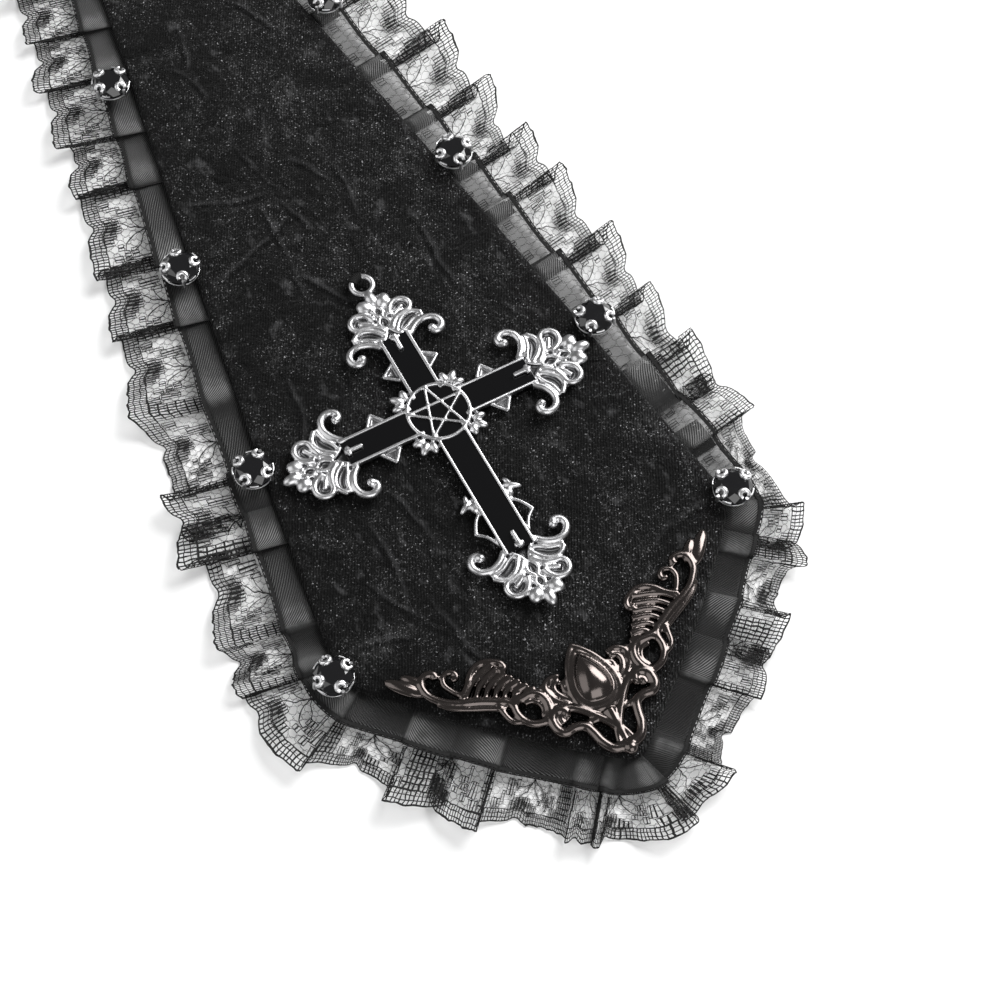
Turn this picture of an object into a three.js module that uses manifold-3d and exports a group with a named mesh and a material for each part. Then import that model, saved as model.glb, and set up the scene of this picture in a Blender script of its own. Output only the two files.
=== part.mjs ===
// A tie-shaped lace jabot, laid flat: a padded velvet blade with a pointed end, a pleated ribbon
// and a ruffle of net lace round its edge, black stones in claw settings sewn on the ribbon, a cast
// cross with black enamel on the blade and a cast scrollwork ornament on its point. A plain knot,
// neck band and clasp finish the top.
// Millimetres. Z is up from the surface that the piece lies on and Y runs up the blade from the
// point to the knot. The origin is the middle of the underside of the bounding box.
import * as THREE from 'three';
import { mergeVertices } from 'three/addons/utils/BufferGeometryUtils.js';
import Module from 'manifold-3d';

const wasm = await Module();
wasm.setup();

// Driving dimensions
const GAP = 0.3;
const BLADE_TOP_Y = 246;
const BLADE_TOP_HALF = 11.6;
const BLADE_THICKNESS = 3.8;
const BLADE_RIM = 4;
const BLADE_RIM_UNDERSIDE = 2.6;
const BLADE_RIM_TOP = 3.4;
const CORNER_HALF = 41.9;
const CORNER_Y = 38.6;
const POINT_Y = -0.4;
const LACE_THICKNESS = 1;
const RIBBON_THICKNESS = 1;
const TRIM_TUCK = 3;
const RIBBON_REACH = 6.3;
const RIBBON_PLEATS_PER_FOLD = 2;
const RIBBON_PLEAT_HEIGHT = 0.5;
const LACE_FLAT_REACH = 6.8;
const LACE_LIFT = 3.2;
const FOLD_RETURN = 0.16;
const NET_GAP_RADIUS = 1.7;
const STONE_RADIUS = 3.6;
const STONE_HEIGHT = 2.6;
const STONE_TABLE = 2;
const STONE_BASE_Z = 4.8;
const SETTING_BASE_Z = 3.1;
const SETTING_FOOT_RADIUS = 1;
const SETTING_FOOT_HEIGHT = 1;
const SETTING_WALL = 0.5;
const CLAW_HEIGHT = 1.8;
const CLAW_NOTCH = 4.4;
const CROSS_Y = 80.4;
const CROSS_Z = BLADE_THICKNESS + GAP;
const CROSS_TURN = 0.0096;
const ARM_HALF_WIDTH = 3.2;
const ARM_RIM = 0.7;
const CROSS_PLATE = 1.2;
const ENAMEL_THICKNESS = 0.5;
const DISC_RADIUS = 6.5;
const ORNAMENT_Z = BLADE_THICKNESS + GAP;
const ORNAMENT_TIP_Y = 1;
const KNOT_HEIGHT = 13;
const KNOT_LENGTH = 30;
const BAND_HEIGHT = 15;
const BAND_THICKNESS = 1.6;
const BAND_HALF_X = 60;
const BAND_HALF_Y = 67;
const CLASP_WIDTH = 22;

// Half-width of the velvet at each height of the blade, below the knot
const BLADE_SIDE = [
  { y: BLADE_TOP_Y, half: BLADE_TOP_HALF },
  { y: 207.3, half: 17.3 },
  { y: 134, half: 28.6 },
  { y: 85.5, half: 35.6 },
  { y: 43.5, half: 41.2 },
];

// Lace folds: where the crest of each stands along the velvet's edge, read from the knot down the
// left side, round the point and up the right side, how far out it reaches, and the dip after it
const LACE_FOLDS = [
  { at: 0, crest: 15, dip: 13.5 },
  { at: 16, crest: 18, dip: 16 },
  { at: 32.4, crest: 20.3, dip: 17.5 },
  { at: 45.3, crest: 18.7, dip: 16.9 },
  { at: 57.3, crest: 20.2, dip: 17.3 },
  { at: 75, crest: 19.5, dip: 15.9 },
  { at: 86.1, crest: 19, dip: 17.4 },
  { at: 103.8, crest: 19.9, dip: 17.1 },
  { at: 123.5, crest: 20, dip: 18.1 },
  { at: 141.4, crest: 21.3, dip: 17.6 },
  { at: 160.8, crest: 20.3, dip: 18.7 },
  { at: 176.8, crest: 21.3, dip: 16.1 },
  { at: 195.1, crest: 19.4, dip: 17.4 },
  { at: 211.7, crest: 19.1, dip: 13.4 },
  { at: 226.6, crest: 19.3, dip: 17.5 },
  { at: 240.7, crest: 19.7, dip: 15.3 },
  { at: 258, crest: 18.3, dip: 13.5 },
  { at: 270.6, crest: 16.6, dip: 12.2 },
  { at: 288.2, crest: 16, dip: 13.8 },
  { at: 302.5, crest: 16.2, dip: 13.4 },
  { at: 313, crest: 17.1, dip: 10.8 },
  { at: 327, crest: 12.3, dip: 11.5 },
  { at: 342, crest: 16.8, dip: 14.7 },
  { at: 356.8, crest: 17, dip: 14.5 },
  { at: 369.8, crest: 17.2, dip: 14.1 },
  { at: 386.5, crest: 19.8, dip: 15.6 },
  { at: 404.3, crest: 20, dip: 17.9 },
  { at: 416.4, crest: 20.5, dip: 14.8 },
  { at: 430.8, crest: 21.7, dip: 16.7 },
  { at: 450.1, crest: 22.4, dip: 18.5 },
  { at: 468, crest: 20.5, dip: 17.5 },
  { at: 484, crest: 20, dip: 17 },
  { at: 500, crest: 19, dip: 16 },
  { at: 516, crest: 18, dip: 15 },
  { at: 532, crest: 15, dip: 13.5 },
];

// Creases of the crushed velvet: middle, direction from +X, length and height of each ridge
const CREASES = [
  { x: -18, y: 152, angle: 70, length: 40, rise: 0.5 },
  { x: 6, y: 168, angle: 115, length: 34, rise: 0.4 },
  { x: -4, y: 205, angle: 80, length: 40, rise: 0.5 },
  { x: 14, y: 132, angle: 60, length: 36, rise: 0.45 },
  { x: -20, y: 108, angle: 100, length: 30, rise: 0.4 },
  { x: 24, y: 100, angle: 130, length: 30, rise: 0.4 },
  { x: -24, y: 62, angle: 140, length: 34, rise: 0.45 },
  { x: -8, y: 44, angle: 125, length: 34, rise: 0.45 },
  { x: 20, y: 52, angle: 75, length: 30, rise: 0.35 },
];

// Stones sewn along the ribbon, from the corner of the blade up to the knot
const STONE_PLACES = [
  { x: 42.5, y: 39.5 },
  { x: 37.5, y: 85.5 },
  { x: 31, y: 134.5 },
  { x: 25.1, y: 183.9 },
  { x: 18.9, y: 233 },
];

// The cross's arms: turn from the upward arm, length to the finial, and the finial's own stretch
const CROSS_ARMS = [
  { name: 'top', turn: 0, end: 18.9, stretch: 0.9, spikes: true },
  { name: 'left', turn: 90, end: 19.8, stretch: 1, spikes: true },
  { name: 'bottom', turn: 180, end: 33.2, stretch: 1, spikes: false },
  { name: 'right', turn: -90, end: 19.8, stretch: 1, spikes: true },
];

// Half a finial, seen from the end of its arm: v is sideways and q outwards, r the rib's radius
const FINIAL_RIBS = [
  { name: 'scroll', r: 0.85, path: [[3.1, 0], [5, 1.3], [7.4, 2.5], [9.8, 1.9], [10.4, 0], [9.4, -1.5], [8, -0.8]] },
  { name: 'leaf', r: 0.7, path: [[0.8, 2.6], [3.6, 3.9], [8.2, 4]] },
  { name: 'lobe', r: 0.75, path: [[1.6, 4.6], [4.6, 5.1], [6.4, 7], [5.8, 9.2], [3.6, 9.7]] },
];
const FINIAL_PETALS = [
  { v: 0, q: 11.7, angle: 0, half_length: 2.1, half_width: 1 },
  { v: 2.1, q: 10.8, angle: -38, half_length: 1.9, half_width: 1 },
  { v: -2.1, q: 10.8, angle: 38, half_length: 1.9, half_width: 1 },
];
const FINIAL_PLATE = [[3.2, -0.6], [4.8, 2.2], [7.8, 4], [5.4, 4.9], [6.8, 7], [5.6, 9.6], [2.6, 11.6], [0, 12.6]];

// Half of the point's ornament: a runs along the arm from the tip and c inwards across it
const ORNAMENT_RIBS = [
  { name: 'edge', r: 0.9, path: [[2, 1], [7, 0.2], [13, 1.4], [18, 0.6], [24, 0.2], [29, 1.4], [36, 0.6], [43.4, 1]] },
  { name: 'hook', r: 0.7, path: [[33, 1.4], [38, 1.6], [41, 3], [40, 4.8], [37.6, 5.2], [36.8, 3.8]] },
  { name: 'eye', r: 0.9, path: [[18, 1.2], [17.4, 3.4], [20, 4.6], [23.6, 3.6], [26, 1.2]] },
  { name: 'leaf spine', r: 0.8, path: [[22, 4.8], [27, 3.6], [33, 1.6]] },
  { name: 'corner loop', r: 0.8, path: [[13.4, 1.2], [15, 3.6], [12.4, 5], [9.4, 3.6], [7.6, 1], [5.4, 3.4], [4, 6]] },
  { name: 'leaf rib 1', r: 0.65, path: [[33, 2.6], [33.4, 6.4], [31.6, 8.8]] },
  { name: 'leaf rib 2', r: 0.65, path: [[31, 2.8], [31, 6.4], [29, 8.6]] },
  { name: 'leaf rib 3', r: 0.65, path: [[28.8, 3.4], [28.6, 6], [26.8, 8]] },
  { name: 'leaf rib 4', r: 0.6, path: [[26.4, 4], [26, 6], [24.6, 7.4]] },
  { name: 'leaf rib 5', r: 0.55, path: [[24.2, 4.4], [23.6, 5.8], [22.4, 6.8]] },
  { name: 'fan rib 1', r: 0.7, path: [[13, 6.2], [18.6, 5.8], [20.6, 8.6]] },
  { name: 'fan rib 2', r: 0.7, path: [[13.6, 7.4], [17.8, 7.6], [18.8, 10.4]] },
];
const ORNAMENT_LEAF = [[34, 1.4], [34.4, 6.6], [31.4, 9.2], [26, 8.4], [21.6, 6.6], [22, 4], [28, 2.6]];
const BOSS = { bottom: 11, tip: 25, shoulder: 18.5, half_width: 5.9, rim: 1.6, dome: 2 };

const MATERIALS = {
  velvet: new THREE.MeshStandardMaterial({ color: 0x18181a, roughness: 0.9, metalness: 0 }),
  ribbon: new THREE.MeshStandardMaterial({ color: 0x202023, roughness: 0.55, metalness: 0 }),
  lace: new THREE.MeshStandardMaterial({ color: 0x121213, roughness: 0.85, metalness: 0 }),
  stone: new THREE.MeshStandardMaterial({ color: 0x08080a, roughness: 0.08, metalness: 0 }),
  silver: new THREE.MeshStandardMaterial({ color: 0xd0d0d2, roughness: 0.2, metalness: 1 }),
  gunmetal: new THREE.MeshStandardMaterial({ color: 0x5a5452, roughness: 0.2, metalness: 1 }),
  enamel: new THREE.MeshStandardMaterial({ color: 0x0a0a0b, roughness: 0.12, metalness: 0 }),
};

const jabot = new THREE.Group();

// Adds one named sub-part
function addPart(name, geometry, material) {
  const mesh = new THREE.Mesh(geometry, material);
  mesh.name = name;
  jabot.add(mesh);
  return mesh;
}

// Keeps positions alone and merges the vertices that touching faces share
function welded(geometry) {
  const bare = geometry.clone();
  bare.deleteAttribute('normal');
  bare.deleteAttribute('uv');
  return mergeVertices(bare, 1e-4);
}

function toSolid(geometry) {
  const mesh = welded(geometry);
  return new wasm.Manifold(new wasm.Mesh({
    numProp: 3,
    vertProperties: new Float32Array(mesh.attributes.position.array),
    triVerts: new Uint32Array(mesh.index.array),
  }));
}

function toGeometry(solid) {
  const mesh = solid.getMesh();
  const geometry = new THREE.BufferGeometry();
  geometry.setAttribute('position', new THREE.BufferAttribute(new Float32Array(mesh.vertProperties), 3));
  geometry.setIndex(new THREE.BufferAttribute(new Uint32Array(mesh.triVerts), 1));
  geometry.computeVertexNormals();
  return geometry;
}

function fuse(geometries) {
  return geometries.map(toSolid).reduce((whole, solid) => whole.add(solid));
}

// Moves every vertex of a geometry to the place that a function gives for it
function bend(geometry, place) {
  const position = geometry.attributes.position;
  const vertex = new THREE.Vector3();
  for (let i = 0; i < position.count; i += 1) {
    vertex.fromBufferAttribute(position, i);
    const moved = place(vertex.x, vertex.y, vertex.z);
    position.setXYZ(i, moved[0], moved[1], moved[2]);
  }
  geometry.computeVertexNormals();
  return geometry;
}

// A box whose corner is at the origin, divided into one cell for each step of x and of y
function cells(columns, rows) {
  const box = new THREE.BoxGeometry(columns, rows, 1, columns, rows, 1);
  return box.translate(columns / 2, rows / 2, 0.5);
}

// The value of a short list at a place between its items
function between(list, place) {
  const low = Math.min(Math.max(Math.floor(place), 0), list.length - 2);
  return THREE.MathUtils.lerp(list[low], list[low + 1], place - low);
}

function polygon(points) {
  return new THREE.Shape(points.map(([x, y]) => new THREE.Vector2(x, y)));
}

function plate(shape, base, height) {
  const geometry = new THREE.ExtrudeGeometry(shape, { depth: height, bevelEnabled: false, curveSegments: 4 });
  return geometry.translate(0, 0, base);
}

// A round rib that follows a plan path at one height
function rib(path, height, radius, sides = 4) {
  const curve = new THREE.CatmullRomCurve3(path.map(([x, y]) => new THREE.Vector3(x, y, height)));
  const section = new THREE.Shape();
  for (let i = 0; i < sides; i += 1) {
    const angle = ((i + 0.5) / sides) * 2 * Math.PI;
    const point = [radius * Math.SQRT2 * Math.cos(angle), radius * Math.SQRT2 * Math.sin(angle)];
    if (i === 0) section.moveTo(...point);
    else section.lineTo(...point);
  }
  return new THREE.ExtrudeGeometry(section, { steps: path.length - 1, extrudePath: curve, bevelEnabled: false });
}

// A rounded petal lying on the plate
function petal(x, y, height, angle, halfLength, halfWidth, thickness) {
  const ball = new THREE.SphereGeometry(1, 5, 3).rotateX(Math.PI / 2);
  ball.scale(halfWidth, halfLength, thickness);
  ball.rotateZ(THREE.MathUtils.degToRad(angle));
  return ball.translate(x, y, height);
}

// The velvet's edge in plan, from the knot's left side round the point to its right side
function bladeEdge() {
  const side = BLADE_SIDE.map((row) => new THREE.Vector2(-row.half, row.y));
  const path = new THREE.Path();
  path.moveTo(side[0].x, side[0].y);
  path.splineThru(side.slice(1));
  path.quadraticCurveTo(-CORNER_HALF, CORNER_Y, -38.3, 34.7);
  path.quadraticCurveTo(-22.5, 17, -3.4, 2.2);
  path.quadraticCurveTo(0, -0.9, 3.4, 2.2);
  path.quadraticCurveTo(22.5, 17, 38.3, 34.7);
  path.quadraticCurveTo(CORNER_HALF, CORNER_Y, 41.2, 43.5);
  path.splineThru(side.slice(0, -1).reverse().map((p) => new THREE.Vector2(-p.x, p.y)));
  return path;
}

const EDGE = bladeEdge();
const EDGE_LENGTH = EDGE.getLength();

// The plan point that lies a way out from the velvet's edge at a distance along it
function outFromEdge(along, out) {
  const u = THREE.MathUtils.clamp(along / EDGE_LENGTH, 0, 1);
  const point = EDGE.getPointAt(u);
  const tangent = EDGE.getTangentAt(u);
  return [point.x + tangent.y * out, point.y - tangent.x * out];
}

// The fold that a distance along the edge falls in, and how far through it that is
function foldAt(along) {
  let index = 0;
  while (index < LACE_FOLDS.length - 2 && LACE_FOLDS[index + 1].at <= along) index += 1;
  const here = LACE_FOLDS[index];
  const next = LACE_FOLDS[index + 1];
  const through = THREE.MathUtils.clamp((along - here.at) / (next.at - here.at), 0, 1);
  return { here, next, through };
}

// How far out the lace reaches: down fast behind a crest, and slowly out to the next one
function laceReach(along) {
  const { here, next, through } = foldAt(along);
  if (through < FOLD_RETURN) return THREE.MathUtils.lerp(here.crest, here.dip, through / FOLD_RETURN);
  const rest = (through - FOLD_RETURN) / (1 - FOLD_RETURN);
  return THREE.MathUtils.lerp(here.dip, next.crest, Math.pow(rest, 1.3));
}

// How high the lace's outer edge stands: it falls behind a crest and rises slowly to the next one
function laceRise(along) {
  const { through } = foldAt(along);
  if (through < FOLD_RETURN) return 1 - through / FOLD_RETURN;
  return Math.pow((through - FOLD_RETURN) / (1 - FOLD_RETURN), 1.6);
}

// Strips of trim between the knot, the two corners and the point
const CORNER_AT = 208.4;
const POINT_AT = EDGE_LENGTH / 2;
const STRIPS = [
  { name: 'left', from: 0, to: CORNER_AT },
  { name: 'lower_left', from: CORNER_AT, to: POINT_AT },
  { name: 'lower_right', from: POINT_AT, to: EDGE_LENGTH - CORNER_AT },
  { name: 'right', from: EDGE_LENGTH - CORNER_AT, to: EDGE_LENGTH },
];

// The places along a strip where a trim bends, with half a gap left at each end
function bendsOf(strip, fractions) {
  const places = [];
  for (let i = 0; i < LACE_FOLDS.length - 1; i += 1) {
    const from = LACE_FOLDS[i].at;
    const pitch = LACE_FOLDS[i + 1].at - from;
    fractions.forEach((fraction) => places.push(from + fraction * pitch));
  }
  const start = strip.from + GAP / 2;
  const end = strip.to - GAP / 2;
  return [start, ...places.filter((at) => at > start + 0.8 && at < end - 0.8), end];
}

const LACE_BENDS = [0, FOLD_RETURN, 0.48, 0.78];
const NET_GAPS = [0.42, 0.76];

// Rows of the lace from its outer edge inwards, bent to their place and lifted by the fold
function placeLace(along, across, height) {
  const reach = laceReach(along);
  const rows = [reach, THREE.MathUtils.lerp(LACE_FLAT_REACH, reach, 0.5), LACE_FLAT_REACH, -TRIM_TUCK];
  const out = between(rows, across);
  const free = Math.max(0, (out - LACE_FLAT_REACH) / (reach - LACE_FLAT_REACH));
  const [x, y] = outFromEdge(along, out);
  return [x, y, LACE_LIFT * laceRise(along) * free + height * LACE_THICKNESS];
}

function laceStrip(strip) {
  const places = bendsOf(strip, LACE_BENDS);
  let sheet = toSolid(cells(places.length - 1, 3));
  const centres = bendsOf(strip, NET_GAPS).slice(1, -1);
  centres.forEach((at) => {
    let column = 0;
    while (places[column + 1] < at) column += 1;
    const pitch = places[column + 1] - places[column];
    const x = column + (at - places[column]) / pitch;
    const hole = new THREE.CylinderGeometry(1, 1, 3, 4).rotateX(Math.PI / 2);
    hole.scale(NET_GAP_RADIUS / pitch, 0.4, 1);
    sheet = sheet.subtract(toSolid(hole.translate(x, 0.95, 0.5)));
  });
  return bend(toGeometry(sheet), (x, y, z) => placeLace(between(places, x), y, z));
}

const RIBBON_BENDS = [0, 0.08, 0.5, 0.58];

// The ribbon's pleats: each one steps down to the next across its length
function ribbonPleat(along) {
  const through = foldAt(along).through * RIBBON_PLEATS_PER_FOLD;
  const step = through - Math.floor(through);
  return step < FOLD_RETURN ? step / FOLD_RETURN : 1 - step;
}

function placeRibbon(along, across, height) {
  const wave = 0.8 * Math.sin(foldAt(along).through * 2 * Math.PI);
  const out = across > 0.5 ? -TRIM_TUCK : RIBBON_REACH + wave - 0.8;
  const raised = 1 - across;
  const [x, y] = outFromEdge(along, out);
  const base = LACE_THICKNESS + GAP;
  return [x, y, base + RIBBON_PLEAT_HEIGHT * ribbonPleat(along) * raised + height * RIBBON_THICKNESS];
}

function ribbonStrip(strip) {
  const places = bendsOf(strip, RIBBON_BENDS);
  return bend(welded(cells(places.length - 1, 1)), (x, y, z) => placeRibbon(between(places, x), y, z));
}

// Height that the creases give the velvet at a plan point
function creaseHeight(x, y) {
  return CREASES.reduce((sum, crease) => {
    const angle = THREE.MathUtils.degToRad(crease.angle);
    const dx = x - crease.x;
    const dy = y - crease.y;
    const along = (dx * Math.cos(angle) + dy * Math.sin(angle)) / (crease.length / 2);
    const across = (dy * Math.cos(angle) - dx * Math.sin(angle)) / 3.5;
    return sum + crease.rise * Math.exp(-along * along - across * across);
  }, 0);
}

function bladeHalf(y) {
  const rows = [...BLADE_SIDE, { y: CORNER_Y, half: CORNER_HALF - 0.3 }];
  let index = 0;
  while (index < rows.length - 2 && rows[index + 1].y >= y) index += 1;
  const through = (y - rows[index].y) / (rows[index + 1].y - rows[index].y);
  return THREE.MathUtils.lerp(rows[index].half, rows[index + 1].half, through);
}

const BLADE_COLUMNS = 10;
const BLADE_ROWS = 24;
const RIM_STEPS = [0, BLADE_RIM, BLADE_RIM + 2];
const LOWER_EDGE_SLANT = 1.35;
const LOWER_EDGE_BULGE = 6.4;

// Sideways place of a column of the blade where it is as wide as half to each side
function bladeColumnX(column, half) {
  const middle = BLADE_COLUMNS / 2;
  const side = column - middle;
  const fromSide = middle - Math.abs(side);
  if (fromSide < 2.5) return Math.sign(side) * (half - RIM_STEPS[fromSide]);
  return (side / (middle - 2)) * (half - RIM_STEPS[2]);
}

// A point of the padded blade: its rim passes over the trims and its body rests on the surface
function placeBlade(column, row, isTop) {
  const cornerHalf = bladeHalf(CORNER_Y);
  const share = Math.abs(bladeColumnX(column, cornerHalf)) / cornerHalf;
  const lower = THREE.MathUtils.lerp(POINT_Y, CORNER_Y, share) - LOWER_EDGE_BULGE * share * (1 - share);
  const rimTop = lower + RIM_STEPS[2] * LOWER_EDGE_SLANT;
  const climb = THREE.MathUtils.lerp(rimTop, BLADE_TOP_Y, (row - 2) / (BLADE_ROWS - 2));
  const y = row < 2.5 ? lower + RIM_STEPS[row] * LOWER_EDGE_SLANT : climb;
  const x = bladeColumnX(column, bladeHalf(Math.max(y, CORNER_Y)));
  const inside = Math.min(BLADE_COLUMNS / 2 - Math.abs(column - BLADE_COLUMNS / 2), row);
  if (isTop) return [x, y, inside === 0 ? BLADE_RIM_TOP : BLADE_THICKNESS - creaseHeight(x, y)];
  return [x, y, inside < 2 ? BLADE_RIM_UNDERSIDE : 0];
}

function velvetBlade() {
  const grid = welded(cells(BLADE_COLUMNS, BLADE_ROWS));
  return bend(grid, (x, y, z) => placeBlade(Math.round(x), Math.round(y), z > 0.5));
}

// A stone with a table, eight crown facets and a flat back
function stoneGeometry() {
  const profile = [[0, 0], [STONE_RADIUS, 0.4], [STONE_RADIUS, 1], [STONE_TABLE, STONE_HEIGHT], [0, STONE_HEIGHT]];
  const points = profile.map(([r, z]) => new THREE.Vector2(r, z));
  return new THREE.LatheGeometry(points, 8).rotateX(Math.PI / 2);
}

// A cup on a foot, whose wall is notched into four claws that stand round the stone
function settingGeometry() {
  const rise = STONE_BASE_Z - SETTING_BASE_Z;
  const inner = STONE_RADIUS + GAP;
  const outer = inner + SETTING_WALL;
  const top = rise + CLAW_HEIGHT;
  const cup = [[0, 0], [SETTING_FOOT_RADIUS, 0], [SETTING_FOOT_RADIUS, SETTING_FOOT_HEIGHT],
    [outer, SETTING_FOOT_HEIGHT], [outer, top], [inner, top], [inner, rise - GAP], [0, rise - GAP]];
  const profile = cup.map(([r, z]) => new THREE.Vector2(r, z));
  let solid = toSolid(new THREE.LatheGeometry(profile, 8, Math.PI / 8).rotateX(Math.PI / 2));
  [0, Math.PI / 2].forEach((turn) => {
    const notch = new THREE.BoxGeometry(4 * outer, CLAW_NOTCH, CLAW_HEIGHT).translate(0, 0, top);
    solid = solid.subtract(toSolid(notch.rotateZ(turn)));
  });
  return toGeometry(solid);
}

// Mirrors a half path across the arm's middle line
function mirrored(path) {
  return path.map(([v, q]) => [-v, q]);
}

function finialPieces(arm) {
  const place = ([v, q]) => [v, arm.end + q * (q > 0 ? arm.stretch : 1)];
  const height = CROSS_PLATE + 0.35;
  const half = FINIAL_PLATE;
  const outline = [...half, ...mirrored(half).reverse().slice(1)].map(place);
  const shape = polygon(outline);
  const keyhole = new THREE.Path();
  keyhole.absellipse(0, arm.end + 6 * arm.stretch, 0.8, 1.3, 0, 2 * Math.PI, true);
  shape.holes.push(keyhole);
  const pieces = [plate(shape, 0, CROSS_PLATE)];
  FINIAL_RIBS.forEach((row) => {
    pieces.push(rib(row.path.map(place), height, row.r));
    pieces.push(rib(mirrored(row.path).map(place), height, row.r));
  });
  FINIAL_PETALS.forEach((row) => {
    const [x, y] = place([row.v, row.q]);
    pieces.push(petal(x, y, height, row.angle, row.half_length, row.half_width, 1.2));
  });
  pieces.push(petal(0, arm.end + 0.3, height + 0.6, 0, 1.1, 1, 1.1));
  pieces.push(rib([[0, arm.end + 0.4], [0, arm.end - 3.2]], CROSS_PLATE + 1.75, 0.45));
  return pieces;
}

function armPieces(arm) {
  const inner = ARM_HALF_WIDTH - ARM_RIM;
  const length = arm.end - 4;
  const pieces = [
    new THREE.BoxGeometry(2 * ARM_HALF_WIDTH, length, CROSS_PLATE).translate(0, 4 + length / 2, CROSS_PLATE / 2),
  ];
  [-1, 1].forEach((side) => {
    const rim = new THREE.BoxGeometry(ARM_RIM, length + 1, 2.2);
    pieces.push(rim.translate(side * (inner + ARM_RIM / 2), 4.5 + length / 2, 1.1));
  });
  if (arm.spikes) {
    [-1, 1].forEach((side) => {
      const edge = side * (ARM_HALF_WIDTH - 0.2);
      pieces.push(rib([[edge, 9.9], [side * 6, 12.2]], 1, 0.45));
      pieces.push(rib([[edge, 14.2], [side * 6, 12.1]], 1, 0.45));
    });
  } else {
    [-1, 1].forEach((side) => {
      const edge = side * (ARM_HALF_WIDTH - 0.2);
      pieces.push(petal(side * 5, 20.9, 1, side * -60, 2, 0.9, 0.9));
      pieces.push(petal(side * 3.5, 21.6, 1, 0, 1.6, 1.4, 0.9));
      pieces.push(rib([[edge, 23], [side * 4.6, 24.4], [side * 6.2, 27.2]], 1, 0.45));
      pieces.push(rib([[side * 6.2, 27], [side * 4.4, 28.6], [edge, 31.4]], 1, 0.45));
    });
  }
  return pieces;
}

// A three-petal fleur on the disc's rim between two arms
function fleurPieces(turn) {
  const pieces = [
    petal(0, 7.6, 1, 0, 1.9, 0.8, 0.9),
    petal(1.3, 6.9, 1, -50, 1.6, 0.9, 0.9),
    petal(-1.3, 6.9, 1, 50, 1.6, 0.9, 0.9),
  ];
  pieces.forEach((piece) => piece.rotateZ(turn));
  return pieces;
}

function crossSolid() {
  const pieces = [];
  CROSS_ARMS.forEach((arm) => {
    const turn = THREE.MathUtils.degToRad(arm.turn);
    [...armPieces(arm), ...finialPieces(arm)].forEach((piece) => pieces.push(piece.rotateZ(turn)));
  });
  for (let i = 0; i < 4; i += 1) pieces.push(...fleurPieces((i + 0.5) * Math.PI / 2));
  const disc = new THREE.CylinderGeometry(DISC_RADIUS, DISC_RADIUS, CROSS_PLATE, 16).rotateX(Math.PI / 2);
  pieces.push(disc.translate(0, 0, CROSS_PLATE / 2));
  let solid = fuse(pieces);
  const bore = new THREE.CylinderGeometry(DISC_RADIUS - 0.9, DISC_RADIUS - 0.9, 3, 16).rotateX(Math.PI / 2);
  solid = solid.subtract(toSolid(bore.translate(0, 0, CROSS_PLATE + 1.5)));
  const wall = new THREE.Shape().absarc(0, 0, DISC_RADIUS, 0, 2 * Math.PI);
  wall.holes.push(new THREE.Path().absarc(0, 0, DISC_RADIUS - 0.9, 0, 2 * Math.PI, true));
  const rim = new THREE.ExtrudeGeometry(wall, { depth: 2.4, bevelEnabled: false, curveSegments: 8 });
  const wires = [rim, new THREE.TorusGeometry(2.3, 0.55, 5, 12).translate(0, 33.4, 1.3)];
  for (let i = 0; i < 5; i += 1) {
    const from = Math.PI / 2 + (i * 2 * Math.PI) / 5;
    const to = from + (4 * Math.PI) / 5;
    const reach = DISC_RADIUS - 0.5;
    const ends = [from, to].map((angle) => [reach * Math.cos(angle), reach * Math.sin(angle)]);
    wires.push(rib(ends, CROSS_PLATE + 1.05, 0.35));
  }
  return solid.add(fuse(wires));
}

// Places a piece of the cross on the blade
function onBlade(mesh) {
  mesh.position.set(0, CROSS_Y, CROSS_Z);
  mesh.rotation.z = CROSS_TURN;
  return mesh;
}

function enamelBar(arm) {
  const width = 2 * (ARM_HALF_WIDTH - ARM_RIM - GAP);
  const from = DISC_RADIUS + GAP;
  const length = arm.end - 1.6 - from;
  const bar = new THREE.BoxGeometry(width, length, ENAMEL_THICKNESS);
  bar.translate(0, from + length / 2, CROSS_PLATE + GAP + ENAMEL_THICKNESS / 2);
  return bar.rotateZ(THREE.MathUtils.degToRad(arm.turn));
}

// Turns a place along and across an arm of the point's ornament into plan millimetres
function ornamentPlan([a, c], side) {
  return [side * (a - c) * Math.SQRT1_2, ORNAMENT_TIP_Y + (a + c) * Math.SQRT1_2];
}

function bossShape(grow) {
  const shape = new THREE.Shape();
  const half = BOSS.half_width + grow;
  const low = ORNAMENT_TIP_Y + BOSS.bottom - grow;
  const high = ORNAMENT_TIP_Y + BOSS.tip + grow * 1.4;
  const middle = ORNAMENT_TIP_Y + BOSS.shoulder;
  shape.moveTo(0, low);
  shape.bezierCurveTo(half * 0.9, low, half * 1.15, middle - 3, half * 0.72, middle + 1.2);
  shape.quadraticCurveTo(half * 0.36, high - 2, 0, high);
  shape.quadraticCurveTo(-half * 0.36, high - 2, -half * 0.72, middle + 1.2);
  shape.bezierCurveTo(-half * 1.15, middle - 3, -half * 0.9, low, 0, low);
  return shape;
}

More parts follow.
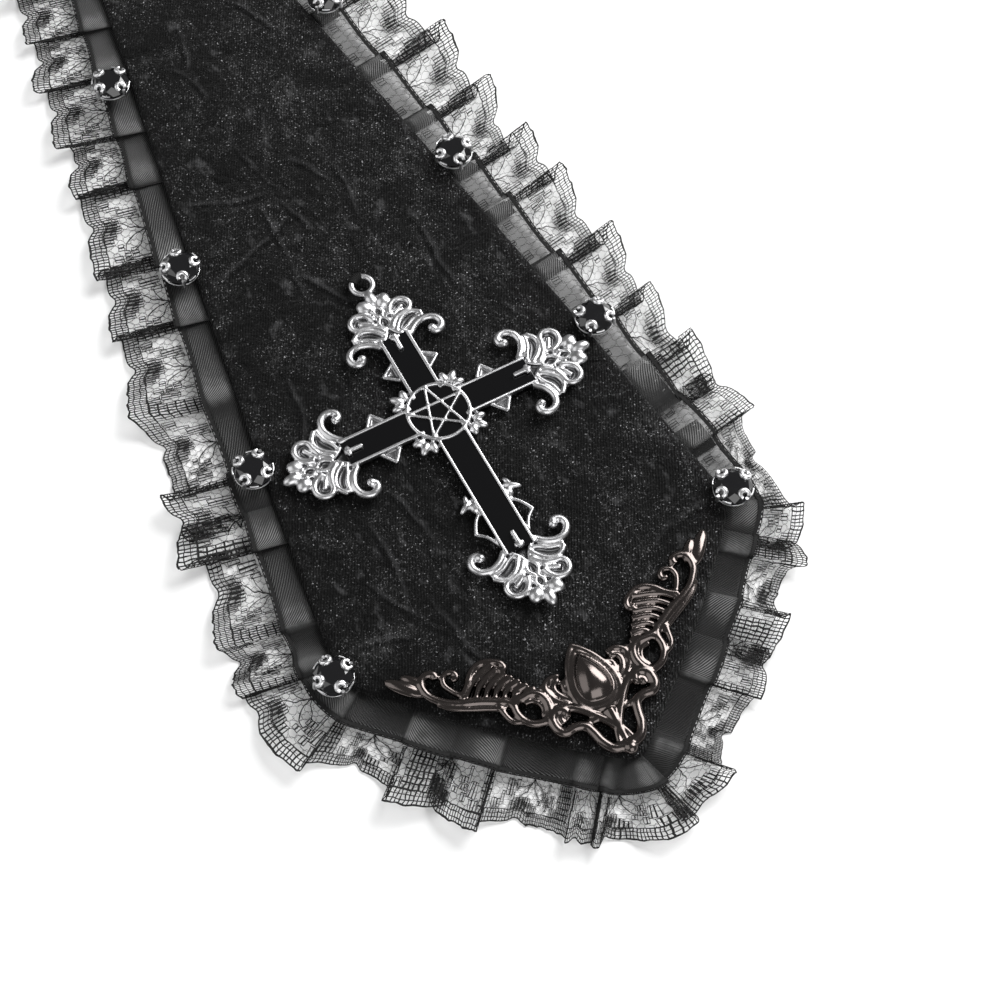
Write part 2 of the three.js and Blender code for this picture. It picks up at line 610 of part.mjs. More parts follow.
function ornamentSolid() {
  const pieces = [];
  [-1, 1].forEach((side) => {
    ORNAMENT_RIBS.forEach((row) => {
      const path = row.path.map((point) => ornamentPlan(point, side));
      pieces.push(rib(path, 0.95, row.r));
    });
    pieces.push(plate(polygon(ORNAMENT_LEAF.map((point) => ornamentPlan(point, side))), 0.1, 0.9));
    const [x, y] = ornamentPlan([43.4, 1.2], side);
    pieces.push(petal(x, y, 0.95, side * -43, 3.6, 1.5, 0.95));
  });
  pieces.push(plate(bossShape(0), 0, BOSS.rim));
  const dome = { depth: 0.3, bevelThickness: BOSS.dome - 0.3, bevelSize: 2.2, bevelSegments: 2, curveSegments: 4 };
  pieces.push(new THREE.ExtrudeGeometry(bossShape(-3.4), dome).translate(0, 0, BOSS.rim));
  pieces.push(petal(0, ORNAMENT_TIP_Y + 1, 1.1, 0, 1.4, 1.4, 1.1));
  pieces.push(petal(0, ORNAMENT_TIP_Y + 9, 0.9, 0, 3.6, 1.6, 0.9));
  pieces.push(rib([[0, ORNAMENT_TIP_Y + 1], [0, ORNAMENT_TIP_Y + 12]], 0.8, 0.8));
  return fuse(pieces);
}

// The knot: a tapered block with rounded edges
function knotGeometry() {
  const bevel = 2.5;
  const bottom = BLADE_TOP_HALF + 2 - bevel;
  const top = BLADE_TOP_HALF + 6 - bevel;
  const low = BLADE_TOP_Y + GAP + bevel;
  const high = BLADE_TOP_Y + KNOT_LENGTH - bevel;
  const shape = polygon([[-bottom, low], [bottom, low], [top, high], [-top, high]]);
  const sizes = { depth: KNOT_HEIGHT - 2 * bevel, bevelThickness: bevel, bevelSize: bevel, bevelSegments: 3 };
  return new THREE.ExtrudeGeometry(shape, sizes).translate(0, 0, bevel);
}

const BAND_CENTRE_Y = BLADE_TOP_Y + KNOT_LENGTH + GAP + BAND_THICKNESS / 2 + BAND_HALF_Y;

// Half of the neck band: a strap standing on its edge, from the knot round to the clasp
function bandHalf(side) {
  const steps = 16;
  const start = -Math.PI / 2 + 0.004;
  const end = Math.PI / 2 - (CLASP_WIDTH / 2 + GAP) / BAND_HALF_X;
  const row = (offset) => Array.from({ length: steps + 1 }, (unused, i) => {
    const angle = start + ((end - start) * i) / steps;
    const x = (BAND_HALF_X + offset) * Math.cos(angle);
    return new THREE.Vector2(side * x, BAND_CENTRE_Y + (BAND_HALF_Y + offset) * Math.sin(angle));
  });
  const outline = [...row(BAND_THICKNESS / 2), ...row(-BAND_THICKNESS / 2).reverse()];
  return new THREE.ExtrudeGeometry(new THREE.Shape(outline), { depth: BAND_HEIGHT, bevelEnabled: false });
}

function claspGeometry() {
  const bevel = 0.8;
  const half = CLASP_WIDTH / 2 - bevel;
  const shape = polygon([[-half, -0.9], [half, -0.9], [half, 0.9], [-half, 0.9]]);
  const sizes = { depth: BAND_HEIGHT - 2 * bevel, bevelThickness: bevel, bevelSize: bevel, bevelSegments: 1 };
  return new THREE.ExtrudeGeometry(shape, sizes).translate(0, BAND_CENTRE_Y + BAND_HALF_Y, bevel);
}

addPart('velvet_blade', velvetBlade(), MATERIALS.velvet);
STRIPS.forEach((strip) => {
  addPart(`lace_${strip.name}`, laceStrip(strip), MATERIALS.lace);
  addPart(`ribbon_${strip.name}`, ribbonStrip(strip), MATERIALS.ribbon);
});

[{ name: 'left', side: -1 }, { name: 'right', side: 1 }].forEach((row) => {
  STONE_PLACES.forEach((place, index) => {
    const setting = addPart(`setting_${row.name}_${index + 1}`, settingGeometry(), MATERIALS.silver);
    setting.position.set(row.side * place.x, place.y, SETTING_BASE_Z);
    const stone = addPart(`stone_${row.name}_${index + 1}`, stoneGeometry(), MATERIALS.stone);
    stone.position.set(row.side * place.x, place.y, STONE_BASE_Z);
  });
});

onBlade(addPart('cross', toGeometry(crossSolid()), MATERIALS.silver));
CROSS_ARMS.forEach((arm) => onBlade(addPart(`enamel_${arm.name}`, enamelBar(arm), MATERIALS.enamel)));
const discEnamel = new THREE.CylinderGeometry(DISC_RADIUS - 1.2, DISC_RADIUS - 1.2, 0.3, 20).rotateX(Math.PI / 2);
onBlade(addPart('enamel_disc', discEnamel.translate(0, 0, CROSS_PLATE + GAP + 0.15), MATERIALS.enamel));

addPart('point_ornament', toGeometry(ornamentSolid()), MATERIALS.gunmetal).position.z = ORNAMENT_Z;

addPart('knot', knotGeometry(), MATERIALS.velvet);
addPart('neck_band_left', bandHalf(-1), MATERIALS.velvet);
addPart('neck_band_right', bandHalf(1), MATERIALS.velvet);
addPart('clasp', claspGeometry(), MATERIALS.silver);

// Puts the origin under the middle of the whole piece
jabot.updateMatrixWorld(true);
const bounds = new THREE.Box3().setFromObject(jabot, true);
const middle = bounds.getCenter(new THREE.Vector3());
jabot.position.set(-middle.x, -middle.y, -bounds.min.z);
jabot.updateMatrixWorld(true);

export default jabot;
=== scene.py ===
# %% [markdown]
# A lace jabot laid flat on a white table. Its frame, the plain solids of every piece, was built
# before and is only dressed here. It could be rebuilt from nothing, but then no piece would be
# sure to meet its neighbour, so each new piece takes its place from the frame.

# %% Load the frame
import math
import random

import bmesh
import bpy
import numpy as np
from mathutils import Matrix, Vector, noise


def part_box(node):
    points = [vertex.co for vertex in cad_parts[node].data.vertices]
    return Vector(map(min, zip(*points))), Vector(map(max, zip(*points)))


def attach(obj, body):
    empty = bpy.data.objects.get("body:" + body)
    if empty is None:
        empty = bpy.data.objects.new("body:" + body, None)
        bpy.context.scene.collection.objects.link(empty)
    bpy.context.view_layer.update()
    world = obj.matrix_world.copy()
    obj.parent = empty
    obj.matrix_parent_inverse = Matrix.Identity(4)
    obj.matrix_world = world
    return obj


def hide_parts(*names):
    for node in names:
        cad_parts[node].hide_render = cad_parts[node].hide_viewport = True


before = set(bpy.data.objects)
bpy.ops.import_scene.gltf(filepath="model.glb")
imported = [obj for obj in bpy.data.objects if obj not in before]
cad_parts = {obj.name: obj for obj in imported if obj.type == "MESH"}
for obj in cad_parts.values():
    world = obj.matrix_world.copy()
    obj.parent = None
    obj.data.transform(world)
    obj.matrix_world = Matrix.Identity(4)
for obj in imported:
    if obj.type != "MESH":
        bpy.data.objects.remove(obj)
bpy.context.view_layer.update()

print("frame:", len(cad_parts), "nodes")

# %% [markdown]
# Everything is drawn in millimetres from the velvet's point, with Y up the blade, and is moved to
# its real place in metres only when a piece is done. Small numbers are easier to read, and one
# function does the moving, so no piece can land in the wrong place.

# %% Units and the drawing's zero
MM = 0.001
POINT_BELOW_ZERO = 0.4
blade_low, blade_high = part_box("velvet_blade")
ZERO = Vector(((blade_low.x + blade_high.x) / 2, blade_low.y + POINT_BELOW_ZERO * MM, 0))


def real(x, y, z=0):
    return ZERO + Vector((x, y, z)) * MM


def finish_piece(name, bm, material, nodes, smooth=True):
    """Moves a drawn mesh to its real place and makes it a piece that stands for its nodes."""
    bmesh.ops.scale(bm, vec=(MM, MM, MM), verts=bm.verts)
    bmesh.ops.translate(bm, vec=ZERO, verts=bm.verts)
    mesh = bpy.data.meshes.new(name)
    bm.to_mesh(mesh)
    bm.free()
    mesh.polygons.foreach_set("use_smooth", [smooth] * len(mesh.polygons))
    mesh.materials.append(material)
    piece = bpy.data.objects.new(name, mesh)
    bpy.context.scene.collection.objects.link(piece)
    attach(piece, "root")
    if nodes:
        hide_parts(*nodes)
    return piece


print("drawing's zero:", [round(v, 5) for v in ZERO])

# %% [markdown]
# The camera comes first. It looks down at about sixty degrees from the left of the point,
# through a long lens that keeps the blade's sides nearly straight.

# %% Camera
LOOK_AT = real(2.737, 61.305)
CAMERA_AZIMUTH = math.radians(-27.652)
CAMERA_ELEVATION = math.radians(62.297)
CAMERA_DISTANCE = 443.55 * MM
LENS = 82.8

flat = math.cos(CAMERA_ELEVATION)
back = Vector((math.sin(CAMERA_AZIMUTH) * flat, -math.cos(CAMERA_AZIMUTH) * flat, math.sin(CAMERA_ELEVATION)))
camera = bpy.data.objects.new("camera", bpy.data.cameras.new("camera"))
camera.data.lens = LENS
camera.data.clip_start = 0.01
camera.location = LOOK_AT + back * CAMERA_DISTANCE
camera.rotation_euler = (-back).to_track_quat("-Z", "Y").to_euler()
bpy.context.scene.collection.objects.link(camera)
bpy.context.scene.camera = camera

# %% [markdown]
# The table is a plain white sheet. A big soft lamp stands up and to the right, so that the lace
# throws its soft shadows to the left, and a weaker one fills from the other side. Standard colour
# is used, because a filmic curve would turn the white table grey.

# %% Table and lamps
scene = bpy.context.scene
scene.view_settings.view_transform = "Standard"
TABLE_SIZE = 3


def soft_lamp(name, place, size, power):
    """A square lamp that looks at the middle of the blade."""
    data = bpy.data.lights.new(name, "AREA")
    data.size = size
    data.energy = power
    lamp = bpy.data.objects.new(name, data)
    lamp.location = LOOK_AT + Vector(place)
    lamp.rotation_euler = (-Vector(place)).to_track_quat("-Z", "Y").to_euler()
    scene.collection.objects.link(lamp)
    return lamp


soft_lamp("key_lamp", (0.74, 0.28, 0.68), 0.7, 14.3)
soft_lamp("fill_lamp", (-0.8, 0.3, 0.72), 1.0, 3.7)
soft_lamp("front_lamp", (-0.1, -0.85, 0.72), 0.9, 5)

bm = bmesh.new()
bmesh.ops.create_grid(bm, x_segments=1, y_segments=1, size=TABLE_SIZE / 2)
table_mesh = bpy.data.meshes.new("table")
bm.to_mesh(table_mesh)
bm.free()
table = bpy.data.objects.new("table", table_mesh)
scene.collection.objects.link(table)

world = bpy.data.worlds.new("studio")
world.use_nodes = True
world.node_tree.nodes["Background"].inputs["Color"].default_value = (1, 1, 1, 1)
world.node_tree.nodes["Background"].inputs["Strength"].default_value = 0.18
scene.world = world

# %% [markdown]
# Finishes are built from nodes. A small helper adds a node and joins its sockets, so that each
# recipe below reads as a list of what the surface is made of.

# %% Helpers for finishes


class Finish:
    """A material whose nodes are added one by one."""

    def __init__(self, name, **values):
        self.material = bpy.data.materials.new(name)
        self.material.use_nodes = True
        self.tree = self.material.node_tree
        self.shader = self.tree.nodes["Principled BSDF"]
        for key, value in values.items():
            self.shader.inputs[key.replace("_", " ")].default_value = value

    def node(self, kind, sockets=(), **settings):
        made = self.tree.nodes.new(kind)
        for key, value in settings.items():
            setattr(made, key, value)
        for key, value in dict(sockets).items():
            if isinstance(value, bpy.types.NodeSocket):
                self.tree.links.new(value, made.inputs[key])
            else:
                made.inputs[key].default_value = value
        return made

    def place(self, scale=(1, 1, 1), turn=0, source="Object"):
        """Coordinates of the piece, stretched and turned."""
        where = self.node("ShaderNodeTexCoord")
        sockets = {"Vector": where.outputs[source], "Scale": scale, "Rotation": (0, 0, turn)}
        return self.node("ShaderNodeMapping", sockets).outputs[0]

    def grain(self, size, detail=4, roughness=0.6, where=None, distortion=0):
        """Cloudy noise whose features are about this many metres across."""
        sockets = {"Scale": 1 / size, "Detail": detail, "Roughness": roughness, "Distortion": distortion}
        sockets["Vector"] = where or self.place()
        return self.node("ShaderNodeTexNoise", sockets).outputs["Fac"]

    def ramp(self, value, stops):
        """Turns a value into a colour through a few stops."""
        made = self.node("ShaderNodeValToRGB", {"Fac": value})
        elements = made.color_ramp.elements
        while len(elements) < len(stops):
            elements.new(0.5)
        for element, (at, shade) in zip(elements, stops):
            element.position = at
            element.color = shade if isinstance(shade, tuple) else (shade, shade, shade, 1)
        return made.outputs["Color"]

    def math(self, operation, a, b):
        return self.node("ShaderNodeMath", {0: a, 1: b}, operation=operation).outputs[0]

    def mix(self, share, a, b):
        made = self.node("ShaderNodeMix", data_type="RGBA")
        for index, value in ((0, share), (6, a), (7, b)):
            if isinstance(value, bpy.types.NodeSocket):
                self.tree.links.new(value, made.inputs[index])
            else:
                made.inputs[index].default_value = value
        return made.outputs[2]

    def bump(self, height, depth, under=None):
        sockets = {"Height": height, "Distance": depth}
        if under is not None:
            sockets["Normal"] = under
        return self.node("ShaderNodeBump", sockets).outputs[0]

    def wear(self, key, value):
        self.tree.links.new(value, self.shader.inputs[key])


# %% [markdown]
# Crushed velvet is nearly black where the pile stands up and grey where it was pressed flat, in
# patches of a centimetre or so with fine streaks, and single fibres glint. Sheen alone would give an
# even bloom, so the patches are painted into the colour, partly the cloth's own pile and partly
# painted sheen, and the glints are painted highlights: white specks in the colour. Paler smudges are
# mixed in too. An attribute of the mesh tells where a crease's groove runs, which gets painted shade,
# and its lip, which gets a painted highlight.

# %% Velvet
velvet = Finish("crushed_velvet", Roughness=0.72, Sheen_Weight=0.06, Sheen_Roughness=0.4)
velvet.shader.inputs["Specular IOR Level"].default_value = 0.1
pile_streaks = velvet.grain(0.0011, 6, 0.7, velvet.place((1, 0.35, 1), 0.5))
crush_patches = velvet.grain(0.011, 5, 0.62, distortion=0.8)
RIBS_ACROSS = 0.00055
rib_wave = {"Vector": velvet.place(turn=0.48), "Scale": 2 * math.pi / (20 * RIBS_ACROSS), "Distortion": 2.5,
            "Detail": 2.0, "Detail Scale": 0.5}
cloth_ribs = velvet.node("ShaderNodeTexWave", rib_wave, wave_type="BANDS").outputs["Fac"]
rib_share = velvet.math("ADD", velvet.math("MULTIPLY", cloth_ribs, 0.22), 0.89)
crush = velvet.math("MULTIPLY", velvet.math("MULTIPLY", pile_streaks, crush_patches), rib_share)
pile_colour = velvet.ramp(crush, [(0.14, 0.001), (0.29, 0.004), (0.42, 0.024), (0.55, 0.08)])
# Painted glints: fine and bright white specks stand for single fibres catching the light, clustered by the crush
# patches.
fine_glints = velvet.ramp(velvet.grain(0.00036, 2, 0.5), [(0.58, 0.0), (0.72, 0.26)])
bright_glints = velvet.ramp(velvet.grain(0.00048, 1, 0.5), [(0.69, 0.0), (0.75, 1.0)])
painted_glints = velvet.math("ADD", fine_glints, bright_glints)
glint_patches = velvet.ramp(crush_patches, [(0.38, 0.12), (0.62, 1.0)])
glint_share = velvet.math("MULTIPLY", painted_glints, glint_patches)
# Paler smudges: the pile's colour is mixed towards grey in scattered stretched patches.
pale_smudges = velvet.ramp(velvet.grain(0.0035, 3, 0.6, velvet.place((1, 0.6, 1), 0.4)), [(0.6, 0.0), (0.74, 1.0)])
smudged = velvet.mix(pale_smudges, pile_colour, (0.045, 0.045, 0.046, 1))
# The crease attribute carries painted light: a painted highlight along each crease's lip and painted shade in its
# groove.
folded = velvet.node("ShaderNodeAttribute", attribute_name="crease").outputs["Fac"]
lip_highlight = velvet.math("MULTIPLY", velvet.ramp(folded, [(0.0, 0.0), (1.0, 1.0)]), velvet.ramp(pile_streaks, [(0.3, 0.3), (0.6, 1.0)]))
with_lip_highlight = velvet.mix(lip_highlight, smudged, (0.07, 0.07, 0.072, 1))
glinted = velvet.mix(glint_share, with_lip_highlight, (0.42, 0.42, 0.43, 1))
groove_shade = velvet.ramp(velvet.math("MULTIPLY", folded, -1.0), [(0.0, 0.0), (0.8, 0.96)])
velvet.wear("Base Color", velvet.mix(groove_shade, glinted, (0.0008, 0.0008, 0.0009, 1)))
nap = velvet.bump(velvet.grain(0.0006, 3, 0.7), 0.00025)
rumpled = velvet.bump(velvet.grain(0.005, 6, 0.6, distortion=1.2), 0.0012, nap)
velvet.wear("Normal", velvet.bump(cloth_ribs, 0.00012, rumpled))

# %% [markdown]
# The ribbon is a sheer twill: fine slanting ribs that catch the light, thin enough that the white
# table greys it. The ribs follow the cloth's own flat pattern, kept as a UV map in millimetres, so
# that they bend with every pleat. Plain transparency on the shader makes it sheer.

# %% Ribbon
RIB_PITCH = 0.42
REPEAT = 24.0
RIBBON_WIDTH = 10.0


def ribbon_finish(name, opacity, shade):
    """Twill lighter on its crests, with painted shade in its dips, a painted shadow under the velvet's rim and a dark
    stitched edge.
    """
    made = Finish(name, Roughness=0.42, Alpha=opacity, Sheen_Weight=0.15)
    made.shader.inputs["Specular IOR Level"].default_value = 0.35
    cloth = made.place((1, 1, 1), 0.9, "UV")
    wave = {"Vector": cloth, "Scale": 2 * math.pi / (20 * RIB_PITCH), "Distortion": 1.5, "Detail": 2.0,
            "Detail Scale": 0.6}
    ribs = made.node("ShaderNodeTexWave", wave, wave_type="BANDS").outputs["Fac"]
    cloud = made.grain(0.004, 5, 0.65)
    flat_place = made.node("ShaderNodeSeparateXYZ", {0: made.place(source="UV")})
    turn = made.math("MULTIPLY", flat_place.outputs["X"], 2 * math.pi / REPEAT)
    # Painted light: the pleats' crests get a painted highlight and their dips painted shade.
    crest = made.math("POWER", made.math("ADD", made.math("MULTIPLY", made.math("COSINE", turn, 0), 0.5), 0.5), 2.2)
    across = made.math("DIVIDE", flat_place.outputs["Y"], RIBBON_WIDTH)
    # Across the ribbon: a painted shadow under the velvet's rim at the inner end; the stitched edge's own dark colour
    # at the outer end.
    strip = made.ramp(across, [(0.38, 0.03), (0.5, 0.8), (0.84, 1.0), (0.92, 0.7), (0.97, 0.0)])
    lit = made.math("MULTIPLY", made.math("MULTIPLY", ribs, cloud), made.math("MULTIPLY", crest, strip))
    made.wear("Base Color", made.ramp(lit, [(0.01, shade * 0.15), (0.15, shade), (0.4, shade * 11)]))
    made.wear("Normal", made.bump(ribs, 0.00012))
    return made.material


ribbon_dark = ribbon_finish("twill_ribbon", 0.9, 0.018)
ribbon_sheer = ribbon_finish("sheer_ribbon", 0.33, 0.035)

# %% [markdown]
# Lace thread and sewing thread are matt black with a little fuzz. Their holes are real, so the
# finish only has to keep the threads from looking like plastic.

# %% Thread
thread = Finish("black_thread", Roughness=0.8)
thread.shader.inputs["Specular IOR Level"].default_value = 0.3
twist = thread.grain(0.0003, 3, 0.6)
thread.wear("Base Color", thread.ramp(twist, [(0.3, 0.003), (0.75, 0.013)]))
thread.wear("Normal", thread.bump(twist, 0.00006))

# %% [markdown]
# The castings are plated. Polished silver is bright on its high ribs and dark in its hollows, where
# the plating was blackened and never wiped. Height above the velvet tells the two apart. The
# ornament on the point is gunmetal, darker, smoother and a little warm.

# %% Metals
CAST_BASE = 4.1 * MM


def cast_metal(name, bright, dark, roughness, hollow, crest):
    """Plated metal that darkens from its crests, this high over the velvet, to its hollows."""
    made = Finish(name, Metallic=1.0)
    where = made.node("ShaderNodeTexCoord").outputs["Object"]
    height = made.node("ShaderNodeSeparateXYZ", {0: where}).outputs["Z"]
    span = {"Value": height, "From Min": CAST_BASE + hollow * MM, "From Max": CAST_BASE + crest * MM}
    high = made.node("ShaderNodeMapRange", span).outputs[0]
    cloud = made.grain(0.002, 5, 0.65)
    made.wear("Base Color", made.mix(high, dark, bright))
    made.wear("Roughness", made.ramp(cloud, [(0.3, roughness * 0.8), (0.7, roughness * 1.3)]))
    made.wear("Normal", made.bump(cloud, 0.00002))
    return made.material


silver = cast_metal("polished_silver", (0.6, 0.6, 0.61, 1), (0.05, 0.05, 0.052, 1), 0.3, 0.85, 1.65)
gunmetal = cast_metal("gunmetal", (0.125, 0.108, 0.102, 1), (0.014, 0.012, 0.012, 1), 0.16, 0.6, 1.3)
claw_silver = Finish("claw_silver", Metallic=1.0, Base_Color=(0.8, 0.8, 0.81, 1))
claw_silver.wear("Roughness", claw_silver.ramp(claw_silver.grain(0.0012, 3), [(0.3, 0.22), (0.7, 0.4)]))

# %% [markdown]
# The cross's hollows are filled with black enamel, glossy and very smooth, and the stones are cut
# black glass. Both are nearly black with a hard clear surface; only the faintest ripple breaks
# their reflections.

# %% Enamel and stones
enamel = Finish("black_enamel", Roughness=0.1, Base_Color=(0.003, 0.003, 0.0035, 1))
enamel.shader.inputs["Specular IOR Level"].default_value = 0.35
enamel.wear("Normal", enamel.bump(enamel.grain(0.003, 2), 0.00002))
black_glass = Finish("black_glass", Roughness=0.04, Base_Color=(0.004, 0.004, 0.005, 1), IOR=1.7)
black_glass.wear("Roughness", black_glass.ramp(black_glass.grain(0.002, 2), [(0.3, 0.02), (0.7, 0.07)]))
paper = Finish("table_white", Roughness=0.9, Base_Color=(0.94, 0.94, 0.94, 1))
table_mesh.materials.append(paper.material)
print("finishes:", len(bpy.data.materials))

# %% [markdown]
# The trims follow the velvet's edge, so its line in plan is worked out once: a smooth curve down
# each side, a tight corner, and a nearly straight slope to the point. Sampling it by distance
# makes "so far along the edge, so far out from it" a place on the table.

# %% The velvet's edge
BLADE_TOP_Y = 246
BLADE_SIDE = [(-11.6, BLADE_TOP_Y), (-17.3, 207.3), (-28.6, 134), (-35.6, 85.5), (-41.2, 43.5)]
CORNER_TURN = [(-41.2, 43.5), (-41.9, 38.6), (-38.3, 34.7)]
LOWER_EDGE = [(-38.3, 34.7), (-22.5, 17), (-3.4, 2.2)]
POINT_TURN = [(-3.4, 2.2), (0, -0.9), (3.4, 2.2)]
CORNER_AT = 208.4


def smooth_through(points, steps=60):
    """A curve that passes through every point."""
    padded_points = [points[0], *points, points[-1]]
    placed = []
    for a, b, c, d in zip(padded_points, padded_points[1:], padded_points[2:], padded_points[3:]):
        a, b, c, d = (np.array(p, float) for p in (a, b, c, d))
        for t in np.linspace(0, 1, steps, endpoint=False):
            start, end = (c - a) / 2, (d - b) / 2
            placed.append((2 * b - 2 * c + start + end) * t**3
                          + (3 * c - 3 * b - 2 * start - end) * t**2 + start * t + b)
    return placed


def round_turn(a, b, c, steps=60):
    """A curve from a to c that leans towards b."""
    a, b, c = (np.array(p, float) for p in (a, b, c))
    return [(1 - t)**2 * a + 2 * t * (1 - t) * b + t * t * c for t in np.linspace(0, 1, steps, endpoint=False)]


left_edge = smooth_through(BLADE_SIDE) + round_turn(*CORNER_TURN) + round_turn(*LOWER_EDGE)
right_edge = [point * (-1, 1) for point in reversed(left_edge)]
edge = np.array(left_edge + round_turn(*POINT_TURN) + [np.array((3.4, 2.2))] + right_edge)
steps_along = np.hypot(*np.diff(edge, axis=0).T)
edge = edge[np.concatenate([[True], steps_along > 1e-6])]
edge_at = np.concatenate([[0], np.cumsum(np.hypot(*np.diff(edge, axis=0).T))])
EDGE_LENGTH = edge_at[-1]
POINT_AT = EDGE_LENGTH / 2
print("velvet's edge:", round(EDGE_LENGTH, 1), "mm")


def out_from_edge(along, out):
    """Plan places of points that lie out from the edge at distances along it."""
    reach = 0.6
    x, y = (np.interp(along, edge_at, edge[:, i]) for i in (0, 1))
    ahead = [np.interp(along + reach, edge_at, edge[:, i]) for i in (0, 1)]
    behind = [np.interp(along - reach, edge_at, edge[:, i]) for i in (0, 1)]
    dx, dy = ahead[0] - behind[0], ahead[1] - behind[1]
    length = np.hypot(dx, dy)
    return x + dy / length * out, y - dx / length * out


# %% [markdown]
# The blade is a padded velvet shape. A cushion simulation would round it too much, so a grid is
# stretched to the outline, its rim is rolled down like a turned edge, and its top is creased by
# ridges of noise, broken up so that they come and go as creases in crushed velvet do. The rim
# passes over the ribbon, and the body inside it rests on the table.

# %% Velvet blade
BLADE_THICKNESS = 3.8
RIM_HEIGHT = 2.75
RIM_ROLL = 2.4
RIM_WIDTH = 4
CREASES = [
    {"x": -4, "y": 155, "angle": -114, "length": 20, "bow": 0.5},
    {"x": -10, "y": 178, "angle": -66, "length": 13, "bow": 2.0},
    {"x": -8, "y": 187, "angle": -105, "length": 13, "bow": 0.5},
    {"x": -8, "y": 152, "angle": -78, "length": 26, "bow": -1.5},
    {"x": -5, "y": 137, "angle": -70, "length": 12, "bow": 1.0},
    {"x": 7, "y": 137, "angle": -96, "length": 14, "bow": 0.5},
    {"x": -17, "y": 131, "angle": 20, "length": 26, "bow": -1.0},
    {"x": -16, "y": 145, "angle": -18, "length": 18, "bow": -1.5},
    {"x": -11, "y": 130, "angle": -93, "length": 26, "bow": 0.5},
    {"x": -7, "y": 116, "angle": -60, "length": 18, "bow": -0.5},
    {"x": 2, "y": 146, "angle": -55, "length": 13, "bow": 0.5},
    {"x": 16, "y": 113, "angle": -90, "length": 22, "bow": -1.0},
    {"x": -14, "y": 58, "angle": -80, "length": 32, "bow": 1.5},
    {"x": -23, "y": 57, "angle": -92, "length": 20, "bow": 1.5},
    {"x": -24, "y": 44, "angle": -60, "length": 23, "bow": -0.5},
    {"x": -19, "y": 38, "angle": -78, "length": 18, "bow": -0.5},
    {"x": -32, "y": 42, "angle": -10, "length": 14, "bow": 1.5},
    {"x": 31, "y": 38, "angle": 12, "length": 16, "bow": 1.0},
    {"x": 26, "y": 90, "angle": -70, "length": 20, "bow": 1.0},
    {"x": -24, "y": 96, "angle": -100, "length": 20, "bow": 1.5},
    {"x": 8, "y": 190, "angle": -60, "length": 18, "bow": 1.0},
    {"x": -2, "y": 222, "angle": -80, "length": 24, "bow": 1.0},
]
GROOVE_DEPTH = 0.24
GROOVE_WIDTH = 0.5
LIP_OUT = 1.0
LIP_WIDTH = 0.5
CRINKLE_SIZE = 13
CRINKLE_DEPTH = 0.5

half_edge = edge[: len(edge) // 2 + 1]
corner_index = int(np.argmin(half_edge[:, 0]))
CORNER_HALF = -half_edge[corner_index, 0]
CORNER_Y = half_edge[corner_index, 1]


def blade_half(y):
    side = half_edge[: corner_index + 1][::-1]
    return np.interp(y, side[:, 1], -side[:, 0])


def blade_foot(x):
    """Height of the lower edge at a distance from the middle line."""
    lower = half_edge[corner_index:][::-1]
    return np.interp(np.abs(x), -lower[:, 0], lower[:, 1])


def crease_at(x, y):
    """The share of a crease's groove and of its lip at a place."""
    groove = lip = 0
    for row in CREASES:
        turn = math.radians(row["angle"])
        dx, dy = x - row["x"], y - row["y"]
        along = (dx * math.cos(turn) + dy * math.sin(turn)) / (row["length"] / 2)
        across = dy * math.cos(turn) - dx * math.sin(turn) + row["bow"] * along * along
        across += 0.5 * noise.noise(Vector((x, y, 0)) * 0.2)
        fade = max(0, 1 - along**4) * min(max(0.75 + 1.3 * noise.noise(Vector((x, y, 7)) * 0.13), 0.2), 1)
        groove = max(groove, fade * math.exp(-(across / GROOVE_WIDTH) ** 2))
        lip = max(lip, fade * math.exp(-((across - LIP_OUT) / LIP_WIDTH) ** 2))
    return groove, lip


def crinkle_depth(x, y):
    place = Vector((x, y, 0)) / CRINKLE_SIZE
    wander = Vector((noise.noise(place * 2.1), noise.noise(place * 2.1 + Vector((9, 0, 0))), 0)) * 0.5
    ridge = (1 - abs(noise.noise(place + wander))) ** 14
    shown = max(0.0, noise.noise(place * 0.9 + Vector((0, 0, 4))) + 0.25)
    return CRINKLE_DEPTH * ridge * shown * 1.6


bm = bmesh.new()
# The crease layer holds painted light for the velvet's finish: painted shade in each groove and a painted highlight
# along its lip.
crease_shade = bm.verts.layers.float.new("crease")
bmesh.ops.create_grid(bm, x_segments=150, y_segments=420, size=1)
for vert in bm.verts:
    u, v = vert.co.x, (vert.co.y + 1) / 2
    foot = float(blade_foot(u * CORNER_HALF))
    y = foot + (BLADE_TOP_Y - foot) * v
    half = float(blade_half(max(y, CORNER_Y)))
    inside = min((1 - abs(u)) * half, (y - foot) * 0.74)
    roll = 1 - min(inside / RIM_ROLL, 1)
    top = RIM_HEIGHT + (BLADE_THICKNESS - RIM_HEIGHT) * math.sqrt(1 - roll * roll)
    settled = min(inside / RIM_ROLL, 1)
    groove, lip = crease_at(u * half, y)
    vert[crease_shade] = lip * 0.5 - groove
    depth = GROOVE_DEPTH * (groove - 0.5 * lip) + crinkle_depth(u * half, y)
    vert.co = (u * half, y, top - settled * depth)
rim = [e for e in bm.edges if e.is_boundary]
for inset, height in ((0.35, 2.6), (RIM_WIDTH, 2.6), (RIM_WIDTH, 0.0)):
    made = bmesh.ops.extrude_edge_only(bm, edges=rim)["geom"]
    rim = [g for g in made if isinstance(g, bmesh.types.BMEdge)]
    for vert in {v for e in rim for v in e.verts}:
        foot = float(blade_foot(vert.co.x))
        if height == 2.6:
            side = float(blade_half(max(vert.co.y, CORNER_Y)))
            share = (side - inset) / side
            vert.co.y += inset * 1.2 * (vert.co.y < foot + 3)
            vert.co.x *= share
        vert.co.z = height
bmesh.ops.contextual_create(bm, geom=rim)
bmesh.ops.recalc_face_normals(bm, faces=bm.faces)
print("blade:", len(bm.faces), "faces")
